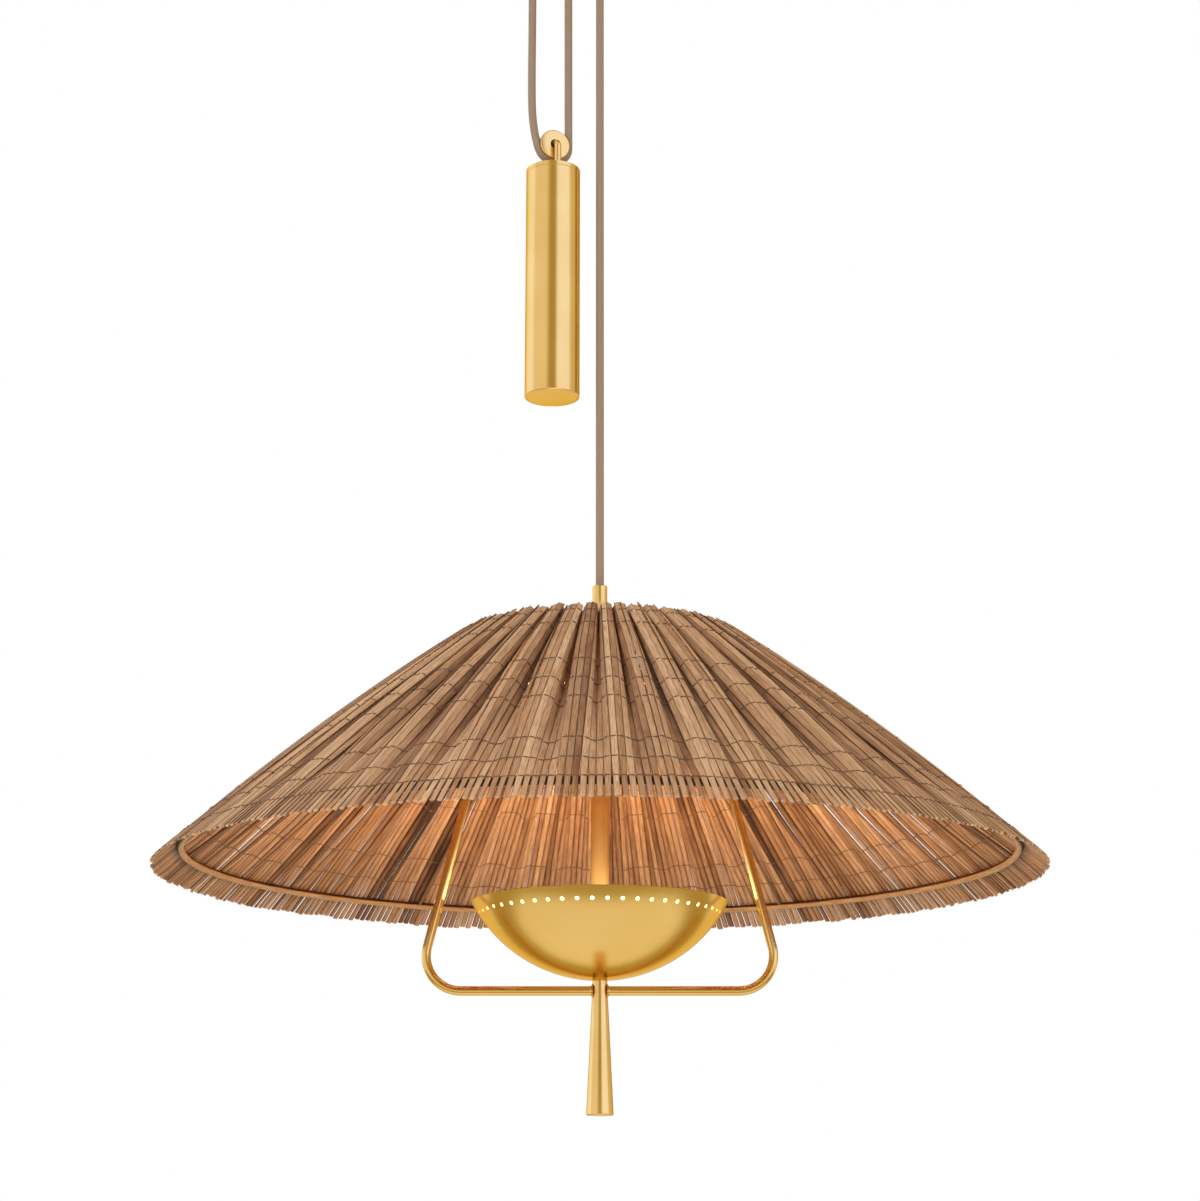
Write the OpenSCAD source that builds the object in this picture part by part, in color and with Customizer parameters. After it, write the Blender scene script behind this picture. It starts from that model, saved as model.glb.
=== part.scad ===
// Rise and fall pendant. Millimetres, +Z up, origin on the ceiling above the lamp.
// A cord runs from the canopy round the pulley of a counterweight, over a ceiling
// pulley and down to the lamp, so the weight falls half as far as the lamp rises.

/* [Ceiling fitting] */
// Diameter of the canopy
canopy_d = 160; // [156:1:200]
// Depth of the canopy
canopy_h = 34; // [32:1:42]
// Wall of the canopy
canopy_wall = 1.5; // [1:0.1:2.5]
// Thickness of the mounting strap
strap_t = 2.5; // [2:0.1:4]
// Width of the mounting strap
strap_w = 24; // [18:1:30]
// Spacing of the two ceiling screws
screw_spacing = 80; // [70:1:84]
// Width of the screw slots
slot_w = 4.4; // [3.4:0.1:5.4]
// Length of the screw slots
slot_len = 14; // [8:1:16]
// Spacing of the two canopy studs
stud_spacing = 112; // [108:1:116]
// Diameter of the canopy studs
stud_d = 4; // [3:0.5:5]
// Thickness of the load plate in the canopy
plate_t = 2.5; // [1.5:0.1:3.5]
// Distance from the lamp's axis to the cord grip
anchor_x = 64; // [62:0.5:65]

/* [Cord and pulleys] */
// Diameter of the cord
cord_d = 7.4; // [6:0.1:7.6]
// Radius of the cord's centreline on a pulley
pitch_r = 15; // [14.4:0.1:15.6]
// Radius of a pulley's flanges
flange_r = 14.4; // [13:0.1:15]
// Width of a pulley
sheave_w = 12; // [10.8:0.1:13]
// Diameter of a pulley's bent rod
yoke_d = 6.4; // [4:0.1:6.6]
// Distance from a pulley's middle to each leg of its rod
yoke_leg = 12.8; // [12.5:0.1:14]
// Height of the ceiling pulley's axle below the ceiling
pulley_drop = 58; // [57:1:70]

/* [Counterweight] */
// Diameter of the counterweight
weight_d = 50; // [44:0.5:56]
// Length of the counterweight
weight_len = 223; // [170:1:240]
// Height of the counterweight's pulley axle below the ceiling
weight_drop = 236; // [225:1:250]
// Distance from the lamp's axis to the counterweight's axis
weight_x = 43.5; // [42:0.5:45]
// Turn of the counterweight about its own axis
weight_yaw = 20; // [10:1:30]
// Wall of the counterweight's tube
weight_wall = 1.5; // [1:0.1:3]
// Thickness of the counterweight's cap
cap_t = 4; // [2:0.1:5]

/* [Shade] */
// Height of the gland's top below the ceiling
gland_drop = 662; // [640:1:720]
// Number of slats in the mat
slat_count = 390; // [360:13:390]
// Number of pleats in the mat
pleat_count = 54; // [52:1:60]
// Length of a slat from the top edge to the hoop
slat_len = 305; // [280:1:340]
// Length of a slat past the hoop
slat_tail = 28; // [15:1:40]
// Thickness of a slat
slat_t = 1; // [0.8:0.1:1.2]
// Outward bow of a slat at its middle
slat_bow = 5.6; // [0:0.1:7]
// Width of a slat
slat_w = 4.1; // [3.5:0.1:4.2]
// Radius of the mat's top edge
mat_r = 118; // [117:0.5:122]
// Slope of the shade below the horizontal
slope = 37.7; // [35:0.1:42]
// Height of the pleats at the top edge, from middle to ridge
pleat_h = 7.4; // [6.8:0.1:8]
// Sideways swing of the pleats, which squares their ridges
pleat_swing = 1.8; // [1.7:0.1:2]
// Drop from the gland's top to the mat's top edge
mat_drop = 54; // [40:0.5:60]
// Diameter of the top ring wire
wire_d = 3.5; // [2.5:0.1:4]
// Diameter of the rim hoop
hoop_d = 6.5; // [4:0.1:7]
// Diameter of the rib wire
rib_d = 3; // [2:0.1:3.4]

/* [Lamp body] */
// Diameter of the gland
gland_d = 13; // [12:0.5:15]
// Diameter of the stem
stem_d = 16; // [15:0.5:18]
// Wall of the stem
stem_wall = 1; // [0.6:0.1:1.4]
// Radius of the bowl's rim
bowl_r = 110; // [105:0.5:113]
// Depth of the bowl
bowl_depth = 66; // [60:1:72]
// Wall of the bowl
bowl_wall = 0.9; // [0.7:0.1:1.5]
// Drop from the gland's top to the bowl's bottom
bowl_drop = 348; // [335:1:365]
// Number of holes round the bowl
hole_count = 52; // [30:1:60]
// Diameter of the holes
hole_d = 3.3; // [2.5:0.1:4]
// Distance from the bowl's rim down to the holes
hole_drop = 10; // [9.5:0.5:12]

/* [Handle and bail] */
// Length of the handle
handle_len = 113; // [90:1:150]
// Diameter of the handle's neck
handle_neck_d = 12.8; // [12.5:0.1:15]
// Diameter of the handle's foot
handle_foot_d = 23.2; // [18:0.1:28]
// Diameter of the bail tube
bail_d = 8; // [6:0.5:9]
// Wall of the bail tube
bail_wall = 0.8; // [0.5:0.1:1.2]
// Distance from the axis to the middle of each lower bend
bail_reach = 118.5; // [117.5:0.5:126]
// Radius of the lower bends
bail_bend = 30; // [20:1:34]
// Lean of the bail's sides
bail_lean = 14; // [10:1:16]
// Drop from the bowl's bottom to the bail's bar
bar_drop = 9; // [8.5:0.5:16]

/* [Hidden] */
$fn = 96;

brass = [0.80, 0.62, 0.26];
steel = [0.62, 0.63, 0.65];
cloth = [0.55, 0.46, 0.38];
cane = [0.66, 0.46, 0.30];

fit = 0.1;          // gap between fixed pieces that slide together
run_gap = 0.05;     // radial gap of a running bore
cord_gap = 0.3;     // gap between the cord and what guides it
cord_break = 0.2;   // gap where one stretch of the cord follows on another
overshoot = 1;      // how far a cutter runs past the face that it cuts

// ---- Ceiling fitting ----
canopy_corner = 6;
floor_z = -canopy_h + canopy_wall;
plate_top = floor_z + plate_t;
plate_r = canopy_d / 2 - 7;
pulley_x = -pitch_r;
pulley_z = -pulley_drop;
stud_end = canopy_h + 6;
nut_h = 9;
grip_neck_d = 9.6;
grip_d = 14;
grip_h = 12;
locknut_h = 4;
grip_top = plate_top + locknut_h + 2;
yoke_nut_h = 4;
yoke_nut_d = 11;
cord_r = cord_d / 2;
cord_bore = cord_d + 2 * cord_gap;
driver_size = [30, 70, 20];
driver_at = [17, -35, plate_top];
block_size = [12, 26, 12];
block_at = [52, -13, plate_top];
lead_d = 2.2;
lead_gap = 8;

// ---- Counterweight ----
weight_z = -weight_drop;
weight_r = weight_d / 2;
yoke_to_cap = 25;
weight_top = weight_z - yoke_to_cap;
weight_bottom = weight_top - weight_len;
base_t = 4;
core_pocket = 14;
side_angle = 25;    // where the slack side leaves the pulley, below level
slack_bow = 110;    // height above the pulley where the slack side leaves the vertical
slack_lean = 78;    // height above the pulley where it leans out beside the cap
lead_in = 1.5;      // straight length where the slack side meets the pulley

// ---- Shade, with s the distance down the mat from its top edge ----
gland_top = -gland_drop;
mat_z = gland_top - mat_drop;
ring_s = 20;
hoop_s = slat_len;
function mat_point(s, lift) = [
    mat_r + s * cos(slope) + lift * sin(slope),
    mat_z - s * sin(slope) + lift * cos(slope)
];
function pleat_at(s) = pleat_h * (1 - s / hoop_s);
// A slat bends at a third and two thirds of its length, so its bow is a flat-topped arch.
slat_all = slat_len + slat_tail;
arch = 8 / 9 * slat_bow;
function bow_at(s) = arch * min(1, 3 * s / slat_all, 3 * (slat_all - s) / slat_all);
ring_at = mat_point(ring_s, bow_at(ring_s) - pleat_at(ring_s) - slat_t / 2 - wire_d / 2 - fit);
hoop_at = mat_point(hoop_s, bow_at(hoop_s) - slat_t / 2 - hoop_d / 2 - fit);
rib_angles = [0, 60, 120, 180, 240, 300];
hub_h = 6;
hub_d = 28;
hub_top = ring_at[1] + hub_h / 2;
hub_bottom = ring_at[1] - hub_h / 2;
stitch_d = 1;
stitch_gap = 30;
stitch_rows = [slat_len - stitch_gap, slat_len];

// ---- Lamp body ----
bowl_bottom = gland_top - bowl_drop;
bowl_rim = bowl_bottom + bowl_depth;
bowl_ball = (bowl_r * bowl_r + bowl_depth * bowl_depth) / (2 * bowl_depth);
bowl_centre = bowl_bottom + bowl_ball;
spacer_h = 20;
spreader_t = 3;
spreader_z = bowl_bottom + bowl_wall + spacer_h;
spreader_r = 52;
board_t = 1.6;
board_r = 48;
lens_t = 1.5;
lens_z = bowl_rim - 7;
function bowl_inner_r(z) = sqrt(pow(bowl_ball - bowl_wall, 2) - pow(bowl_centre - z, 2));
lens_r = bowl_inner_r(lens_z) - fit;
nipple_d = 9.8;
nipple_bore = 6;
nipple_in_handle = 12;
nipple_in_stem = 10;
stem_z = spreader_z + spreader_t;
stem_bore = stem_d - 2 * stem_wall;
cable_d = 5;
cord_in_gland = 12;

// ---- Handle and bail ----
handle_foot = bowl_bottom - handle_len;
bar_z = bowl_bottom - bar_drop;
neck_len = 6;
foot_round = 1.2;
bail_top_bend = 22;
bail_top = hub_bottom - 10;
braze_r = 2.4;

// A tube along points, as one closed solid; its rings stay level with the world's Y.
function unit(v) = v / norm(v);
function along(p, i) = unit(p[min(i + 1, len(p) - 1)] - p[max(i - 1, 0)]);
function side_of(t) = unit(cross(t, abs(t[1]) > 0.9 ? [1, 0, 0] : [0, 1, 0]));
function ring(c, t, r, n) = let (u = side_of(t), v = cross(t, u))
    [for (k = [0 : n - 1]) c + r * (cos(360 * k / n) * u + sin(360 * k / n) * v)];
module swept_tube(p, d, n = 10) {
    last = len(p) - 1;
    points = [for (i = [0 : last]) each ring(p[i], along(p, i), d / 2, n)];
    sides = [for (i = [0 : last - 1], k = [0 : n - 1]) each let (
        a = i * n + k, b = i * n + (k + 1) % n)
        [[a, a + n, b + n], [a, b + n, b]]];
    ends = [[for (k = [0 : n - 1]) k], [for (k = [n - 1 : -1 : 0]) last * n + k]];
    polyhedron(points = points, faces = concat(ends, sides));
}
// Points of a smooth curve through hand-chosen points, a few to each stretch.
function spline(a, b, c, d, t) = 0.5 * (2 * b + (c - a) * t
    + (2 * a - 5 * b + 4 * c - d) * t * t + (3 * b - a - 3 * c + d) * t * t * t);
function smooth(p, steps) = concat([for (i = [0 : len(p) - 2], k = [0 : steps - 1])
    spline(p[max(i - 1, 0)], p[i], p[i + 1], p[min(i + 2, len(p) - 1)], k / steps)],
    [p[len(p) - 1]]);

// Cord routes. The stiff cord stands off beside the counterweight's pulley, in the
// pulley's own plane, and hangs straight down from its grip above that.
yaw_dir = [cos(weight_yaw), sin(weight_yaw), 0];
weight_at = [-weight_x, 0, weight_z];
function by_pulley(out, up) = weight_at - out * yaw_dir + [0, 0, up];
function off_pulley(len) = by_pulley(pitch_r * cos(side_angle) + len * sin(side_angle),
    len * cos(side_angle) - pitch_r * sin(side_angle));
return_end = weight_at + pitch_r * yaw_dir;
anchor_route = [
    [-anchor_x, 0, -canopy_h - 2], [-anchor_x, 0, -60], [-anchor_x, 0, -90],
    [-anchor_x, 0, weight_z + slack_bow], [-anchor_x, -3, weight_z + slack_lean],
    by_pulley(21.5, 50), by_pulley(20.8, 30), by_pulley(pitch_r + 3.8, 13),
    by_pulley(pitch_r + 1.4, 2), off_pulley(2 * lead_in), off_pulley(lead_in), off_pulley(0)
];
return_start = [2 * pulley_x, 0, pulley_z];
return_route = [for (k = [0 : 10]) return_start + (return_end - return_start) * k / 10];
lamp_start = [0, 0, pulley_z];
lamp_end = [0, 0, gland_top - cord_in_gland];
lamp_route = [for (k = [0 : 28]) lamp_start + (lamp_end - lamp_start) * k / 28];
tail_route = [
    [-anchor_x, 0, -canopy_h - 2], [-anchor_x, 0, grip_top - 6], [-anchor_x, 0, grip_top],
    [-anchor_x + 1, -1.6, grip_top + 7], [-anchor_x + 4, -6.1, grip_top + 12],
    [-56, -12, grip_top + 14], [-47, -20, grip_top + 13.5], [-31, -27, grip_top + 12],
    [-12, -29, grip_top + 8], [2, -26.4, grip_top + 5], [driver_at[0] - 6, -25, grip_top + 5],
    [driver_at[0] - 3, -25, grip_top + 5], [driver_at[0] - fit, -25, grip_top + 5]
];

module hollow(d_out, d_in, h) {
    difference() {
        cylinder(d = d_out, h = h);
        translate([0, 0, -overshoot]) cylinder(d = d_in, h = h + 2 * overshoot);
    }
}
module rod_between(a, b, d) {
    v = b - a;
    translate(a)
        rotate([0, acos(v[2] / norm(v)), atan2(v[1], v[0])])
            cylinder(d = d, h = norm(v), $fn = 32);
}
module torus(at, d) {
    translate([0, 0, at[1]])
        rotate_extrude($fn = 180)
            translate([at[0], 0]) circle(d = d, $fn = 24);
}
module hex_nut(af, bore, h) {
    difference() {
        cylinder(d = af / cos(30), h = h, $fn = 6);
        translate([0, 0, -overshoot]) cylinder(d = bore, h = h + 2 * overshoot);
    }
}

// ---- Ceiling fitting ----
module mounting_strap() {
    color(steel) translate([0, 0, -strap_t]) difference() {
        linear_extrude(strap_t) hull() {
            for (s = [-1, 1]) translate([0, s * (stud_spacing / 2)]) circle(d = strap_w);
        }
        for (s = [-1, 1]) {
            translate([0, s * stud_spacing / 2, -overshoot])
                cylinder(d = stud_d, h = strap_t + 2 * overshoot);
            translate([0, s * screw_spacing / 2, -overshoot]) slot_cutter();
        }
        translate([0, 0, -overshoot]) cylinder(d = 13, h = strap_t + 2 * overshoot);
    }
}
module slot_cutter() {
    h = strap_t + 2 * overshoot;
    half = (slot_len - slot_w) / 2;
    translate([-slot_w / 2, -half, 0]) cube([slot_w, 2 * half, h]);
    for (s = [-1, 1]) translate([0, s * half, 0]) cylinder(d = slot_w, h = h);
}
module canopy_studs() {
    color(steel) for (s = [-1, 1]) translate([0, s * stud_spacing / 2, -stud_end])
        cylinder(d = stud_d, h = stud_end);
}
module canopy_outline(inset) {
    r = canopy_d / 2 - inset;
    c = canopy_corner - inset;
    intersection() {
        hull() {
            square([r - c, canopy_h - inset]);
            translate([r - c, c]) circle(c, $fn = 64);
            translate([r - c, canopy_h - inset - 1]) square([c, 1]);
        }
        square([r, canopy_h - inset]);
    }
}
module canopy() {
    color(brass) difference() {
        translate([0, 0, -canopy_h]) rotate_extrude($fn = 180) difference() {
            canopy_outline(0);
            translate([0, canopy_wall]) canopy_outline(canopy_wall);
        }
        plate_holes(-canopy_h - overshoot, canopy_wall + 2 * overshoot);
    }
}
module plate_holes(z, h) {
    translate([0, 0, z]) {
        for (s = [-1, 1]) {
            translate([0, s * stud_spacing / 2, 0]) cylinder(d = stud_d + 2 * fit, h = h);
            translate([pulley_x, s * yoke_leg, 0]) cylinder(d = yoke_d + 2 * fit, h = h);
        }
        translate([-anchor_x, 0, 0]) cylinder(d = grip_neck_d + 2 * fit, h = h);
    }
}
module load_plate() {
    color(steel) difference() {
        translate([0, 0, floor_z]) cylinder(r = plate_r, h = plate_t);
        plate_holes(floor_z - overshoot, plate_t + 2 * overshoot);
    }
}
module canopy_nuts() {
    skirt = nut_h - 3;
    color(brass) for (s = [-1, 1]) translate([0, s * stud_spacing / 2, -canopy_h])
        difference() {
            rotate_extrude() polygon([
                [0, 0], [6, 0], [6, -1.2], [5.2, -2], [5.2, -skirt], [4.2, -nut_h + 1.2],
                [2.4, -nut_h], [0, -nut_h]
            ]);
            translate([0, 0, canopy_h - stud_end - fit])
                cylinder(d = stud_d, h = stud_end - canopy_h + fit + overshoot);
        }
}
module cord_grip() {
    color(brass) translate([-anchor_x, 0, 0]) difference() {
        union() {
            translate([0, 0, -canopy_h - grip_h]) rotate_extrude() polygon([
                [0, 0], [grip_d / 2 - 2, 0], [grip_d / 2, 2], [grip_d / 2, grip_h],
                [0, grip_h]
            ]);
            translate([0, 0, -canopy_h]) cylinder(d = grip_neck_d, h = grip_top + canopy_h);
        }
        translate([0, 0, -canopy_h - grip_h - overshoot])
            cylinder(d = cord_bore, h = grip_h + canopy_h);
    }
}
module grip_nut() {
    color(steel) translate([-anchor_x, 0, plate_top]) hex_nut(15, grip_neck_d, locknut_h);
}
// A rod bent to a staple: its crossbar is the pulley's axle, at the origin.
module bent_rod(leg) {
    bend = yoke_leg - sheave_w / 2 - 0.8;
    flat = yoke_leg - bend;
    translate([0, -flat, 0]) rotate([-90, 0, 0]) cylinder(d = yoke_d, h = 2 * flat);
    for (s = [0, 1]) mirror([0, s, 0]) {
        translate([0, flat, bend]) rotate([0, 90, 0]) rotate_extrude(angle = 90)
            translate([bend, 0]) circle(d = yoke_d, $fn = 48);
        translate([0, yoke_leg, bend]) cylinder(d = yoke_d, h = leg - bend);
    }
}
module ceiling_yoke() {
    color(brass) translate([pulley_x, 0, pulley_z])
        bent_rod(pulley_drop + plate_top + yoke_nut_h + 1);
}
module ceiling_yoke_nuts() {
    color(steel) for (s = [-1, 1]) translate([pulley_x, s * yoke_leg, plate_top])
        hex_nut(yoke_nut_d, yoke_d, yoke_nut_h);
}
module led_driver() {
    ear = 5;
    color([0.9, 0.9, 0.88]) translate(driver_at) difference() {
        union() {
            cube(driver_size);
            translate([0, -ear, 0]) cube([driver_size[0], driver_size[1] + 2 * ear, 2]);
        }
        for (y = [-ear / 2, driver_size[1] + ear / 2])
            translate([driver_size[0] / 2, y, -overshoot]) cylinder(d = 3, h = 4);
    }
}
module terminal_block() {
    ways = 3;
    pitch = block_size[1] / ways;
    color([0.93, 0.93, 0.9]) translate(block_at) difference() {
        cube(block_size);
        for (i = [0 : ways - 1]) translate([0, pitch * (i + 0.5), 0]) {
            translate([block_size[0] / 2, 0, 7]) cylinder(d = 3.4, h = 6);
            translate([-overshoot, 0, 5]) rotate([0, 90, 0]) cylinder(d = 3, h = 15);
        }
    }
}
module supply_leads() {
    reach = block_at[0] - driver_at[0] - driver_size[0];
    color([0.2, 0.2, 0.22]) for (s = [-1, 1])
        translate([driver_at[0] + driver_size[0], s * block_size[1] / 3, plate_top + 5])
            rotate([0, 90, 0]) cylinder(d = lead_d, h = reach + 3);
}
module cord_tail() {
    color(cloth) swept_tube(smooth(tail_route, 2), cord_d);
}

// ---- Cord ----
module cord_anchor_run() {
    color(cloth) swept_tube(smooth(anchor_route, 2), cord_d);
}
module cord_return_run() {
    color(cloth) swept_tube(return_route, cord_d);
}
module cord_lamp_run() {
    color(cloth) swept_tube(lamp_route, cord_d);
}
module wrap(angle) {
    cut = cord_break / pitch_r * 180 / PI;
    rotate([90, 0, 0]) rotate([0, 0, cut]) rotate_extrude(angle = angle - 2 * cut)
        translate([pitch_r, 0]) circle(d = cord_d, $fn = 48);
}
module cord_ceiling_wrap() {
    color(cloth) translate([pulley_x, 0, pulley_z]) wrap(180);
}
module cord_weight_wrap() {
    color(cloth) translate(weight_at) rotate([0, 0, weight_yaw])
        rotate([0, -180 - side_angle, 0]) wrap(180 - side_angle);
}

// ---- Pulleys ----
module sheave() {
    bush_r = yoke_d / 2 + 1.6;
    color(brass) rotate([90, 0, 0]) rotate_extrude() difference() {
        polygon([
            [bush_r, -sheave_w / 2], [flange_r - 0.5, -sheave_w / 2],
            [flange_r, -sheave_w / 2 + 0.5], [flange_r, sheave_w / 2 - 0.5],
            [flange_r - 0.5, sheave_w / 2], [bush_r, sheave_w / 2]
        ]);
        translate([pitch_r, 0]) circle(cord_r + cord_gap, $fn = 64);
    }
}
module bush() {
    bush_r = yoke_d / 2 + 1.6;
    color([0.15, 0.14, 0.13]) rotate([90, 0, 0]) translate([0, 0, -sheave_w / 2])
        hollow(2 * bush_r, yoke_d + 2 * run_gap, sheave_w);
}
module ceiling_sheave() {
    translate([pulley_x, 0, pulley_z]) sheave();
}
module ceiling_bush() {
    translate([pulley_x, 0, pulley_z]) bush();
}
module weight_sheave() {
    translate(weight_at) rotate([0, 0, weight_yaw]) sheave();
}
module weight_bush() {
    translate(weight_at) rotate([0, 0, weight_yaw]) bush();
}

// ---- Counterweight ----
module weight_yoke() {
    color(brass) translate(weight_at) rotate([0, 0, weight_yaw]) rotate([180, 0, 0])
        bent_rod(yoke_to_cap + cap_t + yoke_nut_h + 1);
}
module weight_yoke_nuts() {
    color(steel) translate([-weight_x, 0, weight_top - cap_t - yoke_nut_h])
        rotate([0, 0, weight_yaw])
            for (s = [-1, 1]) translate([0, s * yoke_leg, 0])
                hex_nut(yoke_nut_d, yoke_d, yoke_nut_h);
}
module weight_cap() {
    color(brass) translate([-weight_x, 0, weight_top - cap_t]) difference() {
        rotate_extrude() polygon([
            [0, 0], [weight_r, 0], [weight_r, cap_t - 0.4], [weight_r - 0.4, cap_t],
            [0, cap_t]
        ]);
        rotate([0, 0, weight_yaw]) for (s = [-1, 1]) translate([0, s * yoke_leg, -overshoot])
            cylinder(d = yoke_d, h = cap_t + 2 * overshoot);
    }
}
module weight_tube() {
    color(brass) translate([-weight_x, 0, weight_bottom])
        hollow(weight_d, weight_d - 2 * weight_wall, weight_len - cap_t);
}
module weight_base() {
    color(brass) translate([-weight_x, 0, weight_bottom])
        cylinder(d = weight_d - 2 * weight_wall - fit, h = base_t);
}
module weight_core() {
    color(steel) translate([-weight_x, 0, weight_bottom + base_t])
        cylinder(d = weight_d - 2 * weight_wall - fit, h = weight_len - cap_t - base_t - core_pocket);
}

// ---- Shade frame ----
module gland() {
    bush_bottom = hub_bottom - nipple_in_stem;
    color(brass) difference() {
        union() {
            translate([0, 0, hub_top]) rotate_extrude() polygon([
                [0, 0], [gland_d / 2, 0], [gland_d / 2, gland_top - hub_top - 0.6],
                [gland_d / 2 - 0.6, gland_top - hub_top], [0, gland_top - hub_top]
            ]);
            translate([0, 0, bush_bottom]) cylinder(d = nipple_d, h = hub_top - bush_bottom);
        }
        translate([0, 0, gland_top - cord_in_gland])
            cylinder(d = cord_bore, h = cord_in_gland + overshoot);
        translate([0, 0, bush_bottom - overshoot])
            cylinder(d = cable_d + 2 * fit, h = gland_top - bush_bottom);
        translate([0, 0, gland_top - 6]) rotate([-90, 0, 0]) cylinder(d = 2.6, h = gland_d);
    }
}
module gland_screw() {
    color(steel) translate([0, cord_bore / 2, gland_top - 6]) rotate([-90, 0, 0])
        cylinder(d = 2.6, h = (gland_d - cord_bore) / 2 - 0.3);
}
module stem_cable() {
    color([0.85, 0.83, 0.78]) translate([0, 0, stem_z + nipple_in_stem])
        cylinder(d = cable_d, h = gland_top - cord_in_gland - stem_z - nipple_in_stem);
}
module shade_spider() {
    color(steel) difference() {
        union() {
            translate([0, 0, hub_bottom]) cylinder(d = hub_d, h = hub_h);
            for (a = rib_angles) rotate([0, 0, a]) translate([0, 0, ring_at[1]])
                rotate([0, 90, 0]) cylinder(d = rib_d, h = ring_at[0]);
        }
        translate([0, 0, hub_bottom - overshoot])
            cylinder(d = nipple_d, h = hub_h + 2 * overshoot);
        torus(ring_at, wire_d);
    }
}
module top_ring() {
    color(steel) torus(ring_at, wire_d);
}
module rim_hoop() {
    color(cane) torus(hoop_at, hoop_d);
}
module shade_ribs() {
    color(steel) difference() {
        for (a = rib_angles) rotate([0, 0, a])
            rod_between([ring_at[0], 0, ring_at[1]], [hoop_at[0], 0, hoop_at[1]], rib_d);
        torus(ring_at, wire_d);
        torus(hoop_at, hoop_d);
    }
}

// ---- Slat mat ----
// Bowed slats from a pleated top edge to a plain hoop. Slat i stands at azimuth a;
// u is its place in the pleats, which lift it by a cosine and swing it by a sine.
function slat_azimuth(i) = 360 * i / slat_count;
function slat_phase(i) = 360 * pleat_count * i / slat_count;
function polar(r, a, z) = [r * cos(a), r * sin(a), z];
function slat_top_point(i) = let (
    u = slat_phase(i), at = mat_point(0, pleat_h * cos(u)),
    swing = pleat_swing * sin(2 * u) / mat_r * 180 / PI)
    polar(at[0], slat_azimuth(i) + swing, at[1]);
function slat_hoop_point(i) = let (at = mat_point(hoop_s, 0)) polar(at[0], slat_azimuth(i), at[1]);
// Uneven ends, up to 1 to either side.
function uneven(i, k) = sin(137.5 * i * k + 71 * k);
module slat(i) {
    top = slat_top_point(i);
    v = slat_hoop_point(i) - top;
    third = (norm(v) + slat_tail) / 3;
    start = 1.6 * uneven(i, 1);
    end = 3 * third + 1.2 * uneven(i, 2);
    line = [[start, arch * start / third], [third, arch], [2 * third, arch],
        [end, arch * (3 - end / third)]];
    translate(top)
        rotate([0, asin(-v[2] / norm(v)), atan2(v[1], v[0])])
            rotate([90, 0, 0]) linear_extrude(slat_w, center = true) polygon(concat(
                [for (k = [0 : 3]) line[k] - [0, slat_t / 2]],
                [for (k = [3 : -1 : 0]) line[k] + [0, slat_t / 2]]));
}
module slat_mat() {
    color(cane) for (i = [0 : slat_count - 1]) slat(i);
}
module rim_stitches() {
    color([0.3, 0.2, 0.14]) for (s = stitch_rows)
        torus(mat_point(s, bow_at(s) + pleat_at(s) + slat_t / 2 + stitch_d / 2 + fit), stitch_d);
}

// ---- Stem, bowl and light ----
module stem_tube() {
    color(brass) translate([0, 0, stem_z]) hollow(stem_d, stem_bore, hub_bottom - stem_z);
}
module stem_top_bush() {
    color(steel) translate([0, 0, hub_bottom - nipple_in_stem])
        hollow(stem_bore, nipple_d, nipple_in_stem);
}
module stem_foot_bush() {
    color(steel) translate([0, 0, stem_z]) hollow(stem_bore, nipple_d, nipple_in_stem);
}
module nipple() {
    color(steel) translate([0, 0, bowl_bottom - nipple_in_handle])
        hollow(nipple_d, nipple_bore, stem_z + nipple_in_stem - bowl_bottom + nipple_in_handle);
}
module heat_spreader() {
    color([0.75, 0.76, 0.78]) translate([0, 0, spreader_z])
        hollow(2 * spreader_r, nipple_d, spreader_t);
}
module led_board() {
    chips = 24;
    chip = 3;
    color("white") translate([0, 0, spreader_z + spreader_t]) {
        hollow(2 * board_r, stem_d + 6, board_t);
        for (k = [0 : chips - 1]) rotate([0, 0, 360 * k / chips])
            translate([board_r - 12, -chip / 2, board_t - 0.2]) cube([chip, chip, 1]);
    }
}
module diffuser() {
    color([0.97, 0.96, 0.92]) translate([0, 0, lens_z])
        hollow(2 * lens_r, stem_d + 2 * fit, lens_t);
}
module bowl_spacer() {
    color(steel) intersection() {
        translate([0, 0, bowl_bottom]) hollow(22, nipple_d, bowl_wall + spacer_h);
        translate([0, 0, bowl_centre]) sphere(bowl_ball - bowl_wall, $fn = 180);
    }
}
module bowl() {
    hole_z = bowl_rim - hole_drop;
    tilt = acos((bowl_centre - hole_z) / bowl_ball);
    color(brass) difference() {
        translate([0, 0, bowl_centre]) rotate_extrude($fn = 180) intersection() {
            difference() {
                circle(bowl_ball, $fn = 360);
                circle(bowl_ball - bowl_wall, $fn = 360);
            }
            translate([0, -bowl_ball]) square([bowl_r + bowl_wall, bowl_depth]);
        }
        translate([0, 0, bowl_bottom - overshoot]) cylinder(d = nipple_d, h = 4 * overshoot);
        for (k = [0 : hole_count - 1]) rotate([0, 0, 360 * (k + 0.5) / hole_count])
            translate([0, 0, bowl_centre]) rotate([0, 180 - tilt, 0])
                translate([0, 0, bowl_ball - 4]) cylinder(d = hole_d, h = 8, $fn = 24);
    }
}

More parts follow.
